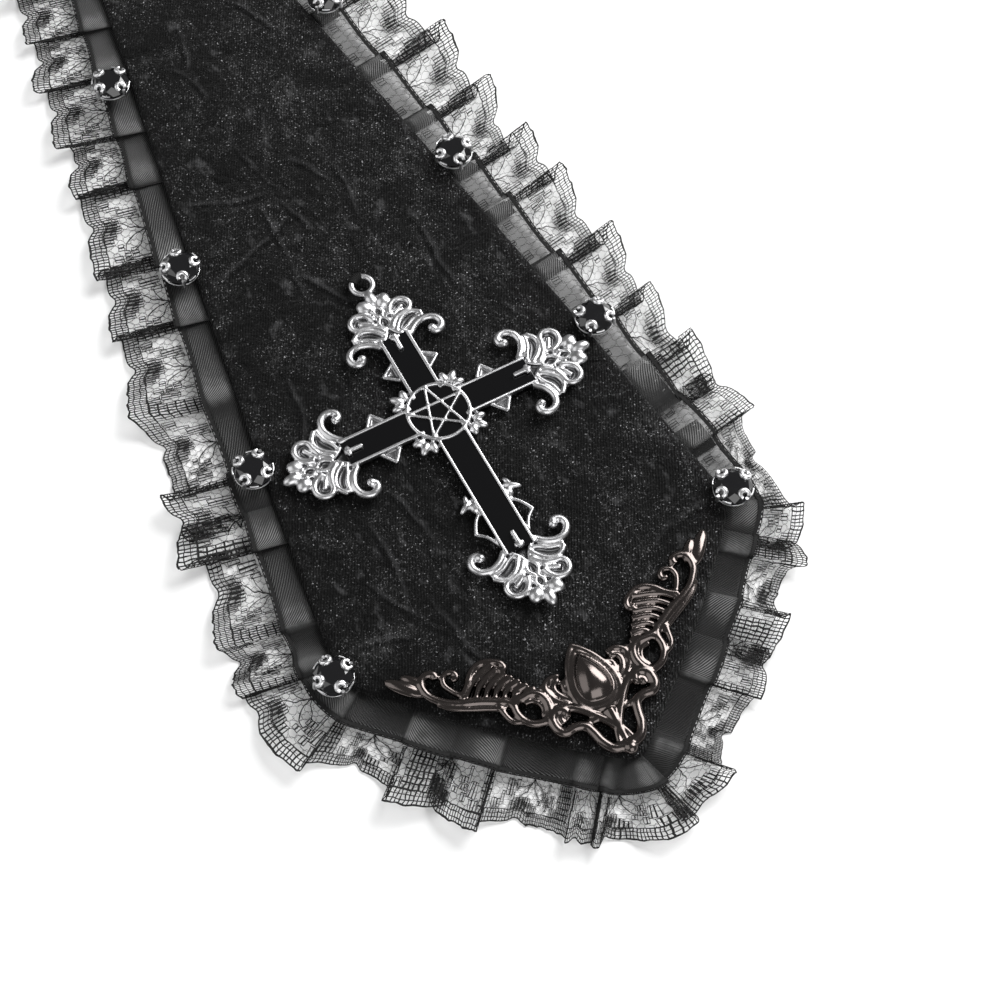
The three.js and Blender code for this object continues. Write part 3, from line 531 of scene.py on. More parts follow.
blade = finish_piece("blade_of_velvet", bm, velvet.material, ["velvet_blade"])

# %% [markdown]
# Lace and ribbon are gathered into folds that lean over themselves, so that three layers lie on
# each other behind every crest. Cloth simulation of so fine a net would take hours, and a fold's
# shape is simple: the cloth swings forward as it rises, back as it falls, and forward again. The
# table gives each crest's place along the edge, how far out it and the dip beside it reach, and
# which way it leans.

# %% Folds
FOLDS = [
    {"at": 0, "crest": 15, "dip": 13.5, "lean": 1},
    {"at": 16, "crest": 18, "dip": 16, "lean": 1},
    {"at": 32.4, "crest": 20.3, "dip": 17.5, "lean": 1},
    {"at": 45.3, "crest": 18.7, "dip": 16.9, "lean": 1},
    {"at": 57.3, "crest": 20.2, "dip": 17.3, "lean": 0.5},
    {"at": 75, "crest": 19.5, "dip": 15.9, "lean": 1},
    {"at": 86.1, "crest": 19, "dip": 17.4, "lean": 0.5},
    {"at": 109.4, "crest": 19.4, "dip": 17.1, "lean": 1},
    {"at": 124, "crest": 20, "dip": 18.1, "lean": 1},
    {"at": 142, "crest": 21.3, "dip": 17.6, "lean": 0.5},
    {"at": 160.8, "crest": 20.3, "dip": 17.0, "lean": -1},
    {"at": 177.4, "crest": 21.3, "dip": 16.1, "lean": 1},
    {"at": 195.1, "crest": 19.4, "dip": 17.4, "lean": 0.5},
    {"at": 203.4, "crest": 18.8, "dip": 17, "lean": 0},
    {"at": 211.7, "crest": 19.1, "dip": 13.4, "lean": 1},
    {"at": 224, "crest": 19, "dip": 13.8, "lean": -1},
    {"at": 240.9, "crest": 19.7, "dip": 15.3, "lean": 1},
    {"at": 256, "crest": 18.3, "dip": 14.6, "lean": -1},
    {"at": 260.8, "crest": 17.8, "dip": 15.4, "lean": 0},
    {"at": 265.8, "crest": 16.8, "dip": 13.6, "lean": 0},
    {"at": 270.6, "crest": 16.6, "dip": 12.2, "lean": 1},
    {"at": 285, "crest": 16, "dip": 13.6, "lean": -1},
    {"at": 302.5, "crest": 16.4, "dip": 13.4, "lean": 1},
    {"at": 312, "crest": 17.1, "dip": 12.5, "lean": -1},
    {"at": 321, "crest": 15, "dip": 10.4, "lean": 1},
    {"at": 335.4, "crest": 16.4, "dip": 12.5, "lean": -1},
    {"at": 357.4, "crest": 17, "dip": 14.5, "lean": 1},
    {"at": 369.8, "crest": 17.2, "dip": 14.1, "lean": 0.5},
    {"at": 387.2, "crest": 19.8, "dip": 15.6, "lean": 1},
    {"at": 404.3, "crest": 20, "dip": 17.5, "lean": 0.5},
    {"at": 417, "crest": 20.3, "dip": 14.8, "lean": 1},
    {"at": 431.5, "crest": 21.7, "dip": 16.7, "lean": 0.5},
    {"at": 450.1, "crest": 22.4, "dip": 18.5, "lean": 1},
    {"at": 468, "crest": 20.5, "dip": 17.5, "lean": 0.5},
    {"at": 484, "crest": 20, "dip": 17, "lean": 1},
    {"at": 500, "crest": 19, "dip": 16, "lean": 1},
    {"at": 516, "crest": 18, "dip": 15, "lean": 1},
    {"at": 532, "crest": 15, "dip": 13.5, "lean": 1},
]
fold_number = np.arange(len(FOLDS))
fold_column = {key: np.array([row[key] for row in FOLDS], float) for key in FOLDS[0]}
fold_pitch = np.diff(fold_column["at"])
SWING = 2.2
CREST_SINE = math.sqrt(1 - 1 / SWING**2)
CREST_SHIFT = math.acos(-1 / SWING) / (2 * math.pi) - 0.25


def eased(turn, values):
    """A column of the table between its rows, flat at each row."""
    low = np.clip(np.floor(turn).astype(int), 0, len(values) - 2)
    t = np.clip(turn - low, 0, 1)
    t = t * t * (3 - 2 * t)
    return values[low] * (1 - t) + values[low + 1] * t


def fold_along(turn, swing=SWING):
    """How far along the edge the cloth is, for a place counted in folds."""
    base = np.interp(turn, fold_number, fold_column["at"])
    pitch = np.interp(turn - 0.5, fold_number[:-1], fold_pitch)
    lean = eased(turn, fold_column["lean"])
    wave = np.sin(2 * math.pi * (turn + 0.25))
    return base + lean * pitch * (swing / (2 * math.pi) * (wave - CREST_SINE) - CREST_SHIFT * swing / SWING)


def fold_height(turn):
    """0 in a valley and 1 on a crest."""
    return 0.5 + 0.5 * np.sin(2 * math.pi * (turn + 0.25))


def fold_reach(turn):
    crest = eased(turn, fold_column["crest"])
    dip = eased(turn - 0.5 * (eased(turn, fold_column["lean"]) > 0), fold_column["dip"])
    return dip + (crest - dip) * fold_height(turn)


turns = np.linspace(0, len(FOLDS) - 1, 34 * 400 + 1)
along_edge = fold_along(turns)
walked = np.concatenate([[0], np.cumsum(np.hypot(np.diff(along_edge), np.diff(fold_height(turns)) * 3))])
print("flat length of the lace:", round(walked[-1]), "mm")

# %% [markdown]
# The lace's pattern repeats once in every fold, with the spray of each repeat in the light patch
# between two crests. So the flat pattern is tied to the folds at those places, and stretched
# evenly between them, as net does when it is gathered by hand.

# %% Tie the pattern to the folds
anchors = []
for index, (near, far) in enumerate(zip(FOLDS, FOLDS[1:])):
    middle = (near["at"] + far["at"]) / 2
    span = (turns >= index) & (turns <= index + 1)
    close = np.abs(along_edge[span] - middle)
    highest = np.where(close < 0.25, fold_height(turns[span]), -1)
    anchors.append(turns[span][int(np.argmax(highest))])
anchor_walked = np.interp(anchors, turns, walked)
anchor_pattern = (np.arange(len(anchors)) + 0.5) * REPEAT
pattern_at = np.interp(walked, anchor_walked, anchor_pattern)
first, last = walked < anchor_walked[0], walked > anchor_walked[-1]
pattern_at[first] = anchor_pattern[0] - (anchor_walked[0] - walked[first])
pattern_at[last] = anchor_pattern[-1] + (walked[last] - anchor_walked[-1])


def turn_of(pattern):
    return np.interp(pattern, pattern_at, turns)


print("repeats of the pattern:", len(anchors))

# %% [markdown]
# One repeat of the lace is drawn flat, as the lace maker charts it. All of it is openwork: a face
# is inset to leave a thread round a hole, and the hole's face is deleted. The ground is a net of
# six-sided cells; bars, ladders and dense blocks are grids treated the same way.

# %% Openwork
HEAD_OUT = -1.5
RIBBON_LINE = 7.8
LACE_WIDTH = 21.0
NET_PITCH = 1.7142857
NET_LINE = 0.034


def openwork(bm, p, q, columns, rows, cell_p, cell_q, line):
    """A block of outlined cells with one corner at p, q; line is half the thread's width."""
    made = bmesh.ops.create_grid(bm, x_segments=columns, y_segments=rows, size=0.5)["verts"]
    size = (columns * cell_p, rows * cell_q, 1)
    bmesh.ops.scale(bm, vec=size, verts=made)
    bmesh.ops.translate(bm, vec=(p + size[0] / 2, q + size[1] / 2, 0), verts=made)
    cut_holes(bm, {f for v in made for f in v.link_faces}, line)


def cut_holes(bm, faces, line):
    holes = list(faces)
    bmesh.ops.inset_individual(bm, faces=holes, thickness=line, use_even_offset=True)
    bmesh.ops.delete(bm, geom=holes, context="FACES_ONLY")


def stem(bm, points, width):
    """A flat thread that curves through a few points."""
    line = np.array(smooth_through(points, 5) + [np.array(points[-1], float)])
    lean = np.gradient(line, axis=0)
    lean /= np.hypot(lean[:, 0], lean[:, 1])[:, None]
    made = bmesh.ops.create_grid(bm, x_segments=len(line) - 1, y_segments=1, size=0.5)["verts"]
    for vert in made:
        index = round((vert.co.x + 0.5) * (len(line) - 1))
        side = vert.co.y * width
        vert.co = (line[index][0] - lean[index][1] * side, line[index][1] + lean[index][0] * side, 0)


def arrayed(mesh, count, step):
    """A row of copies of a mesh, joined where they touch."""
    holder = bpy.data.objects.new("row", mesh)
    scene.collection.objects.link(holder)
    row = holder.modifiers.new("row", "ARRAY")
    row.count = count
    row.use_relative_offset = False
    row.use_constant_offset = True
    row.constant_offset_displace = step
    row.use_merge_vertices = True
    row.merge_threshold = 0.02
    bpy.context.view_layer.update()
    joined = bpy.data.meshes.new_from_object(holder.evaluated_get(bpy.context.evaluated_depsgraph_get()))
    bpy.data.objects.remove(holder)
    return joined


# %% [markdown]
# The ground comes from one pair of cells, copied along and across by two arrays. Its rows are
# pulled longer near the border, as they are in worn net, and under the ribbon, where few show.

# %% One repeat: the net
net_radius = NET_PITCH / math.sqrt(3)
net_rows = 12
bm = bmesh.new()
for row in (0, 1):
    cell = bmesh.ops.create_circle(bm, cap_ends=True, segments=6, radius=net_radius)["verts"]
    bmesh.ops.rotate(bm, verts=cell, matrix=Matrix.Rotation(math.pi / 6, 3, "Z"))
    bmesh.ops.translate(bm, verts=cell, vec=(row * NET_PITCH / 2, row * 1.5 * net_radius, 0))
net_pair = bpy.data.meshes.new("net_pair")
bm.to_mesh(net_pair)
bm.free()
net_row = arrayed(net_pair, round(REPEAT / NET_PITCH), (NET_PITCH, 0, 0))
net_sheet = arrayed(net_row, net_rows // 2, (0, 3 * net_radius, 0))

# %% [markdown]
# The figure of each repeat: from one point on the ribbon four stems curve out to clusters of tall
# narrow bars; stepped blocks reach in from the border beside the spray; and close cells fill the
# part that the fold hides, so that three layers of it read as a dark band. Still closer ones at
# the head stand for the tight gathers, which show dark through the ribbon.

# %% One repeat: the figure
STEMS = [
    [(12.0, 7.6), (11.2, 9.4), (9.9, 10.2), (8.6, 10.6)],
    [(12.0, 7.6), (11.0, 10.6), (10.0, 12.6), (8.7, 14.2)],
    [(12.1, 7.6), (12.8, 10.4), (14.4, 12.6), (16.0, 13.4)],
    [(12.1, 7.6), (13.4, 8.8), (15.0, 9.8), (16.2, 11.2)],
]
BARS = [
    {"p": 6.0, "q": 8.6, "columns": 2, "length": 4.8},
    {"p": 7.4, "q": 9.6, "columns": 1, "length": 5.4},
    {"p": 5.2, "q": 12.4, "columns": 1, "length": 3.4},
    {"p": 8.2, "q": 8.4, "columns": 1, "length": 2.6},
    {"p": 15.6, "q": 10.6, "columns": 3, "length": 1.6},
    {"p": 16.0, "q": 12.4, "columns": 3, "length": 1.4},
    {"p": 17.6, "q": 8.2, "columns": 1, "length": 6.2},
    {"p": 18.4, "q": 11.2, "columns": 3, "length": 3.6},
    {"p": 17.0, "q": 14.2, "columns": 2, "length": 2.0},
    {"p": 14.6, "q": 13.6, "columns": 2, "length": 1.2},
    {"p": 8.0, "q": 13.8, "columns": 4, "length": 2.2},
    {"p": 8.8, "q": 14.6, "columns": 6, "length": 3.4},
    {"p": 7.2, "q": 15.2, "columns": 5, "length": 2.8},
    {"p": 10.6, "q": 13.4, "columns": 2, "length": 2.6},
    {"p": 12.4, "q": 15.4, "columns": 3, "length": 2.4},
    {"p": 3.0, "q": 14.6, "columns": 3, "length": 2.6},
    {"p": 19.4, "q": 15.0, "columns": 3, "length": 2.4},
    {"p": 6.4, "q": 2.0, "columns": 3, "length": 2.2},
    {"p": 15.6, "q": 3.4, "columns": 3, "length": 1.8},
    {"p": 11.0, "q": 1.4, "columns": 2, "length": 1.6},
]
BAR_PITCH = 0.72
BAR_LINE = 0.165
BORDER_WIDTH = 3.5
BORDER_ROWS = 3
BORDER_COLUMNS = 36
BORDER_LINE = 0.125
FOLDED_CELLS = {"q": 7.7, "columns": 3, "rows": 6, "cell_p": 0.8, "cell_q": 1.62, "line": 0.2}
HEAD_CELLS = {"q": 0.3, "columns": 3, "rows": 3, "cell_p": 1.8, "cell_q": 2.4, "line": 1.25}
NET_ROWS_FROM = (-1.0, 3.0, 12.0, 17.5)
NET_ROWS_TO = (-0.6, 6.6, 15.6, 22.0)


def bump_at(p, middle, width):
    """A soft hump that repeats with the pattern."""
    away = (p - middle + REPEAT / 2) % REPEAT - REPEAT / 2
    return math.exp(-(away / width) ** 2)


def edge_drop(p):
    """How far the border pulls in: at the stepped blocks, and a little between the small scallops."""
    return 1.6 * bump_at(p, 9.6, 1.7) + 0.22 * abs(math.sin(math.pi * p / 4.0))


def shake(verts, amount, frequency):
    """Small displacements that repeat with the pattern, so that no two cells are quite alike."""
    for vert in verts:
        around = vert.co.x * 2 * math.pi / REPEAT
        circle = REPEAT / (2 * math.pi) * frequency
        place = Vector((math.cos(around) * circle, math.sin(around) * circle, vert.co.y * frequency))
        push = noise.noise_vector(place)
        vert.co.x += push.x * amount
        vert.co.y += push.y * amount


def drawn_repeat(thread_share):
    """One flat repeat; a smaller share gives finer thread."""
    bm = bmesh.new()
    bm.from_mesh(net_sheet)
    bmesh.ops.remove_doubles(bm, verts=bm.verts, dist=0.03)
    border_start = LACE_WIDTH - BORDER_WIDTH
    for vert in bm.verts:
        vert.co.y = float(np.interp(vert.co.y, NET_ROWS_FROM, NET_ROWS_TO))
    hidden = [face for face in bm.faces if face.calc_center_median().y > border_start + 0.5]
    bmesh.ops.delete(bm, geom=hidden, context="FACES")
    shake(bm.verts, 0.6, 1.4)
    cut_holes(bm, bm.faces[:], NET_LINE * thread_share)
    for points in STEMS:
        stem(bm, points, 0.24 * thread_share)
    for row in BARS:
        openwork(bm, row["p"], row["q"], row["columns"], 1, BAR_PITCH, row["length"], BAR_LINE * thread_share)
    for cell in (FOLDED_CELLS, HEAD_CELLS):
        for start in (0, REPEAT - cell["columns"] * cell["cell_p"]):
            line = min(cell["line"] * thread_share, 0.45 * cell["cell_p"])
            openwork(bm, start, cell["q"], cell["columns"], cell["rows"], cell["cell_p"], cell["cell_q"], line)
    openwork(bm, 0, border_start, BORDER_COLUMNS, BORDER_ROWS, REPEAT / BORDER_COLUMNS,
             BORDER_WIDTH / BORDER_ROWS, BORDER_LINE * thread_share)
    for q, width in ((border_start, 0.3), (LACE_WIDTH - 0.1, 0.5)):
        stem(bm, [(REPEAT * i / 8, q) for i in range(9)], width * thread_share)
    shake(bm.verts, 0.3, 0.9)
    for vert in bm.verts:
        share = min(max((vert.co.y - 11) / 8, 0), 1)
        vert.co.y -= edge_drop(vert.co.x) * share
    mesh = bpy.data.meshes.new("lace_repeat")
    bm.to_mesh(mesh)
    bm.free()
    return mesh


print("one repeat of lace:", len(drawn_repeat(1).polygons), "faces")

# %% [markdown]
# The repeat is arrayed along the whole edge, cut where the four strips of lace meet, and each
# strip is laid into the folds. The right-hand lace looks finer, so its thread is thinner. The
# threads get their thickness last, so that it is the same however steep the fold.

# %% Lay the lace
LACE_REST = 0.25
LACE_PRESSED = 0.75
LACE_LIFT = 3.3
THREAD_THICKNESS = 0.13
STRIPS = [
    {"name": "left", "start": 0.0, "end": CORNER_AT, "thread": 0.75},
    {"name": "lower_left", "start": CORNER_AT, "end": POINT_AT, "thread": 0.78},
    {"name": "lower_right", "start": POINT_AT, "end": EDGE_LENGTH - CORNER_AT, "thread": 0.73},
    {"name": "right", "start": EDGE_LENGTH - CORNER_AT, "end": EDGE_LENGTH, "thread": 0.64},
]
fold_lift = np.array([random.Random(index).uniform(0.75, 1.1) for index in range(len(FOLDS))])


def lay_lace(p, q):
    """Flat pattern places to real ones."""
    turn = turn_of(p)
    out = np.where(q < RIBBON_LINE, HEAD_OUT + q,
                   6.3 + (q - RIBBON_LINE) / (LACE_WIDTH - RIBBON_LINE) * (fold_reach(turn) - 6.3))
    free = np.clip((out - 4.5) / 13, 0, 1.2)
    lift = (LACE_PRESSED + (LACE_LIFT - LACE_PRESSED) * free**1.3) * eased(turn, fold_lift)
    along = np.clip(fold_along(turn), 0.3, EDGE_LENGTH - 0.3)
    x, y = out_from_edge(along, out)
    return x, y, LACE_REST + lift * fold_height(turn)


def pattern_of(along):
    """Flat place of the topmost cloth at a distance along the edge."""
    near = np.abs(along_edge - along) < 0.3
    best = np.argmax(np.where(near, fold_height(turns), -1))
    return float(pattern_at[best])


def laid_strip(mesh, start, end, lay):
    """Cuts a flat strip at two places along and lays what is left into the folds."""
    bm = bmesh.new()
    bm.from_mesh(mesh)
    bmesh.ops.remove_doubles(bm, verts=bm.verts, dist=0.02)
    for place, side in ((start, -1), (end, 1)):
        geometry = bm.verts[:] + bm.edges[:] + bm.faces[:]
        bmesh.ops.bisect_plane(bm, geom=geometry, plane_co=(place, 0, 0), plane_no=(side, 0, 0), clear_outer=True)
    uv = bm.loops.layers.uv.new("flat_pattern")
    for face in bm.faces:
        for loop in face.loops:
            loop[uv].uv = loop.vert.co.xy
    flat_places = np.array([v.co for v in bm.verts])
    laid = np.stack(lay(flat_places[:, 0], flat_places[:, 1]), axis=1)
    laid[:, 2] += flat_places[:, 2]
    for vert, place in zip(bm.verts, laid):
        vert.co = place
    return bm


for strip in STRIPS:
    lace_mesh = arrayed(drawn_repeat(strip["thread"]), len(anchors) + 1, (REPEAT, 0, 0))
    start, end = pattern_of(strip["start"]), pattern_of(strip["end"])
    bm = laid_strip(lace_mesh, start, end, lay_lace)
    name = f"lace_{strip['name']}"
    print(name, len(bm.faces), "faces,", round(end - start), "mm flat")
    lace = finish_piece(f"{name}_ruffle", bm, thread.material, [name], smooth=False)
    thick = lace.modifiers.new("thread", "SOLIDIFY")
    thick.thickness = THREAD_THICKNESS * strip["thread"] * MM
    thick.offset = 0

# %% [markdown]
# The ribbon heads the lace. It is one long strip with the same folds, only flatter, because it is
# sewn down along both edges. Its strips are grids laid with a gentler swing.

# %% Ribbon
RIBBON_HEAD = -3.7
RIBBON_REST = 1.45
RIBBON_LIFT = 1.5
RIBBON_SWING = 1.6
RIBBON_COLUMNS = 24
PICOT_COLUMNS = 26
PICOT_HEIGHT = 0.5
EDGE_CORD = 0.6


def lay_ribbon(p, q):
    turn = p / REPEAT
    free = q / RIBBON_WIDTH
    out = RIBBON_HEAD + q + 0.35 * np.sin(2 * math.pi * turn * 1.0 + 1) * free
    along = np.clip(fold_along(turn, RIBBON_SWING), 0.3, EDGE_LENGTH - 0.3)
    x, y = out_from_edge(along, out)
    return x, y, RIBBON_REST + RIBBON_LIFT * (0.2 + 0.8 * free) * fold_height(turn)


bm = bmesh.new()
grid = bmesh.ops.create_grid(bm, x_segments=RIBBON_COLUMNS, y_segments=8, size=0.5)["verts"]
bmesh.ops.scale(bm, vec=(REPEAT, RIBBON_WIDTH, 1), verts=grid)
bmesh.ops.translate(bm, vec=(REPEAT / 2, RIBBON_WIDTH / 2, 0), verts=grid)
ribbon_repeat = bpy.data.meshes.new("ribbon_repeat")
bm.to_mesh(ribbon_repeat)
bm.free()
ribbon_mesh = arrayed(ribbon_repeat, len(FOLDS) - 1, (REPEAT, 0, 0))

bm = bmesh.new()
openwork(bm, 0, RIBBON_WIDTH, PICOT_COLUMNS, 1, REPEAT / PICOT_COLUMNS, PICOT_HEIGHT, 0.16)
stem(bm, [(REPEAT * i / 8, RIBBON_WIDTH - 0.2) for i in range(9)], EDGE_CORD)
edging_repeat = bpy.data.meshes.new("edging_repeat")
bm.to_mesh(edging_repeat)
bm.free()
edging_mesh = arrayed(edging_repeat, len(FOLDS) - 1, (REPEAT, 0, 0))
ribbon_along = fold_along(turns, RIBBON_SWING)
for strip in STRIPS:
    reached = [int(np.argmin(np.abs(ribbon_along - strip[key]))) for key in ("start", "end")]
    bm = laid_strip(ribbon_mesh, turns[reached[0]] * REPEAT, turns[reached[1]] * REPEAT, lay_ribbon)
    name = f"ribbon_{strip['name']}"
    finish = ribbon_sheer if strip["name"] == "right" else ribbon_dark
    ribbon = finish_piece(f"{name}_pleats", bm, finish, [name])
    thick = ribbon.modifiers.new("cloth", "SOLIDIFY")
    thick.thickness = 0.2 * MM
    thick.offset = 0
    bm = laid_strip(edging_mesh, turns[reached[0]] * REPEAT, turns[reached[1]] * REPEAT, lay_ribbon)
    bmesh.ops.translate(bm, verts=bm.verts, vec=(0, 0, 0.12))
    edging = finish_piece(f"{name}_edging", bm, thread.material, [], smooth=False)
    thick = edging.modifiers.new("cord", "SOLIDIFY")
    thick.thickness = 0.34 * MM
    thick.offset = 0

# %% [markdown]
# Claw settings and stones come in ten. The stone is the hull of a few rings of points, which is
# what a cutter's wheel leaves: a table, eight crown facets and their small neighbours. The cup is
# a spun profile, and each claw ends in a curl of thick wire.

# %% Stones and settings
STONE_PLACES = [(42.5, 39.5), (37.5, 85.5), (31, 134.5), (25.1, 183.9), (18.9, 233)]
STONE_BASE = 4.8
STONE_RINGS = [
    {"radius": 2.3, "height": 2.5, "sides": 8, "turn": 22.5},
    {"radius": 3.2, "height": 2.0, "sides": 8, "turn": 0},
    {"radius": 3.85, "height": 1.1, "sides": 16, "turn": 0},
    {"radius": 3.85, "height": 0.7, "sides": 16, "turn": 0},
    {"radius": 2.4, "height": 0.0, "sides": 8, "turn": 0},
]
CLAW_TURNS = [20, 105, 195, 285]


def cut_stone(x, y, turn):
    bm = bmesh.new()
    for row in STONE_RINGS:
        ring = bmesh.ops.create_circle(bm, segments=row["sides"], radius=row["radius"])["verts"]
        angle = math.radians(row["turn"] + turn)
        bmesh.ops.rotate(bm, verts=ring, matrix=Matrix.Rotation(angle, 3, "Z"))
        bmesh.ops.translate(bm, verts=ring, vec=(0, 0, row["height"]))
    bmesh.ops.convex_hull(bm, input=bm.verts)
    bmesh.ops.translate(bm, verts=bm.verts, vec=(x, y, STONE_BASE))
    return bm


def rods(bm, rows, steps=5, sides=3):
    """Adds round bars to a mesh: each row has the points of a smooth line and a radius at each."""
    curve = bpy.data.curves.new("rods", "CURVE")
    curve.dimensions = "3D"
    curve.bevel_depth = 1
    curve.bevel_resolution = sides
    curve.resolution_u = steps
    curve.use_fill_caps = True
    for points, radii in rows:
        line = curve.splines.new("BEZIER")
        line.bezier_points.add(len(points) - 1)
        for knot, point, radius in zip(line.bezier_points, points, radii):
            knot.co = point
            knot.radius = radius
            knot.handle_left_type = "AUTO"
            knot.handle_right_type = "AUTO"
    holder = bpy.data.objects.new("rods", curve)
    scene.collection.objects.link(holder)
    bpy.context.view_layer.update()
    bm.from_mesh(bpy.data.meshes.new_from_object(holder.evaluated_get(bpy.context.evaluated_depsgraph_get())))
    bpy.data.objects.remove(holder)


def claw_setting(x, y, turn):
    bm = bmesh.new()
    cup = [(0.9, 3.1), (1.0, 3.9), (3.1, 4.1), (3.85, 4.8), (3.9, 5.1), (3.8, 5.2), (3.7, 5.0), (3.6, 4.7)]
    verts = [bm.verts.new((r, 0, z)) for r, z in cup]
    edges = [bm.edges.new(pair) for pair in zip(verts, verts[1:])]
    edges.append(bm.edges.new((verts[-1], verts[0])))
    bmesh.ops.spin(bm, geom=verts + edges, cent=(0, 0, 0), axis=(0, 0, 1), angle=2 * math.pi, steps=24,
                   use_merge=True)
    bmesh.ops.recalc_face_normals(bm, faces=bm.faces)
    curls = []
    for number, claw in enumerate(CLAW_TURNS):
        angle = math.radians(claw + turn)
        outward = Vector((math.cos(angle), math.sin(angle), 0))
        across = Vector((-outward.y, outward.x, 0)) * (-1) ** number
        curl = []
        for k in range(9):
            around = math.radians(-120 + k * 33)
            place = outward * (3.15 - 0.8 * math.cos(around)) + across * 0.85 * math.sin(around)
            curl.append(place + Vector((0, 0, 7.05 + 0.25 * math.cos(around))))
        curls.append((curl, [0.36 + 0.18 * math.sin(math.pi * k / 8) for k in range(9)]))
        shank = [outward * 3.95 + Vector((0, 0, 4.9)), outward * 3.9 + Vector((0, 0, 6.7))]
        curls.append((shank, [0.45, 0.34]))
        arc = [math.radians(claw + turn + step) for step in (18, 30, 42)]
        curls.append(([(3.95 * math.cos(a), 3.95 * math.sin(a), 6.1) for a in arc], [0.2] * len(arc)))
    rods(bm, curls, 3, 2)
    bmesh.ops.translate(bm, verts=bm.verts, vec=(x, y, 0))
    return bm


for side, word in ((-1, "left"), (1, "right")):
    for index, (x, y) in enumerate(STONE_PLACES, 1):
        turn = 37 * index + 50 * side
        bm = claw_setting(side * x, y, turn)
        finish_piece(f"claws_{word}_{index}", bm, claw_silver.material, [f"setting_{word}_{index}"])
        bm = cut_stone(side * x, y, turn)
        finish_piece(f"cut_{word}_{index}", bm, black_glass.material, [f"stone_{word}_{index}"],
                     smooth=False)

# %% [markdown]
# The cross is a casting: arms with a raised rim, a disc with a star in a ring, and a spray of
# scrolls at each end. Its ribs are drawn as round bars that follow short paths, its petals as
# stretched balls, and a voxel remesh fuses them all, which leaves the soft inner corners that
# metal poured into a mould has.

# %% Cross: its parts
CROSS_Y = 80.4
CROSS_Z = 4.1
CROSS_TURN = 0.0096
CROSS_ARMS = [
    {"name": "top", "turn": 0, "end": 18.9, "stretch": 0.9, "spikes": True},
    {"name": "left", "turn": 90, "end": 19.8, "stretch": 1, "spikes": True},
    {"name": "bottom", "turn": 180, "end": 33.2, "stretch": 1, "spikes": False},
    {"name": "right", "turn": -90, "end": 19.8, "stretch": 1, "spikes": True},
]
ARM_HALF_WIDTH = 3.2
ARM_RIM = 0.6
CROSS_PLATE = 1.2
DISC_RADIUS = 6.5
FINIAL_PLATE_HEIGHT = 0.9
FINIAL_RIBS = [
    {"radii": (0.75, 0.9), "path": [(3.2, -0.4), (5.2, 1.3), (7.8, 1.9), (9.7, 0.7), (9.8, -1.3), (8.4, -2), (7.7, -1.2)]},
    {"radii": (0.42, 0.5), "path": [(1.4, 1), (3.2, 1.6), (5.2, 2.8), (7.8, 3.2)]},
    {"radii": (0.5, 0.6), "path": [(1.4, 1.9), (2.8, 3.8), (4.4, 4.8), (5.9, 4.9), (7.7, 3.6)]},
    {"radii": (0.55, 0.75), "path": [(0.9, 3), (2.2, 4.6), (4.2, 5.5), (6, 6), (6.5, 7.4), (5.5, 8.9), (3.7, 9),
                                    (2.3, 7.8), (1.7, 6.2)]},
    {"radii": (0.45, 0.55), "path": [(1.8, 5.1), (3.2, 6.4), (4.9, 7.3)]},
    {"radii": (0.4, 0.42), "path": [(0.2, 9.6), (0.9, 8.1), (0.3, 6.8), (1.1, 5.2), (0.3, 3.4)]},
    {"radii": (0.42, 0.42), "path": [(0.2, 3.6), (0.9, 2), (2.2, 0.2), (3, -1.6)]},
]
FINIAL_PETALS = [
    {"v": 0, "q": 11.9, "angle": 0, "half_length": 2.0, "half_width": 1.25},
    {"v": 2.1, "q": 10.4, "angle": -40, "half_length": 1.75, "half_width": 1.5},
    {"v": -2.1, "q": 10.4, "angle": 40, "half_length": 1.75, "half_width": 1.5},
    {"v": 7.8, "q": -1.2, "angle": 0, "half_length": 1.0, "half_width": 1.0},
    {"v": -7.8, "q": -1.2, "angle": 0, "half_length": 1.0, "half_width": 1.0},
]
FINIAL_PLATE = [(3.2, -0.6), (5, 1.6), (8, 2.6), (6.8, 4.4), (6.6, 7), (5.2, 8.8), (3, 9.4), (1.4, 10.8), (0, 11.6)]


def plate(bm, outline, base, height):
    """A flat plate of this outline."""
    face = bm.faces.new([bm.verts.new((x, y, base)) for x, y in outline])
    made = bmesh.ops.extrude_face_region(bm, geom=[face])["geom"]
    bmesh.ops.translate(bm, verts=[g for g in made if isinstance(g, bmesh.types.BMVert)], vec=(0, 0, height))


def petal(bm, x, y, z, angle, half_length, half_width, thickness):
    ball = bmesh.ops.create_icosphere(bm, subdivisions=3, radius=1)["verts"]
    bmesh.ops.scale(bm, vec=(half_width, half_length, thickness), verts=ball)
    bmesh.ops.rotate(bm, verts=ball, matrix=Matrix.Rotation(math.radians(angle), 3, "Z"))
    bmesh.ops.translate(bm, verts=ball, vec=(x, y, z))


def block(bm, low, high):
    cube = bmesh.ops.create_cube(bm, size=1)["verts"]
    low, high = Vector(low), Vector(high)
    bmesh.ops.scale(bm, vec=high - low, verts=cube)
    bmesh.ops.translate(bm, vec=(low + high) / 2, verts=cube)


def tapered(path, height, radii):
    """A rib's points at one height with radii that run from the first to the last."""
    share = np.linspace(0, 1, len(path))
    return [(x, y, height) for x, y in path], [radii[0] + (radii[1] - radii[0]) * s for s in share]


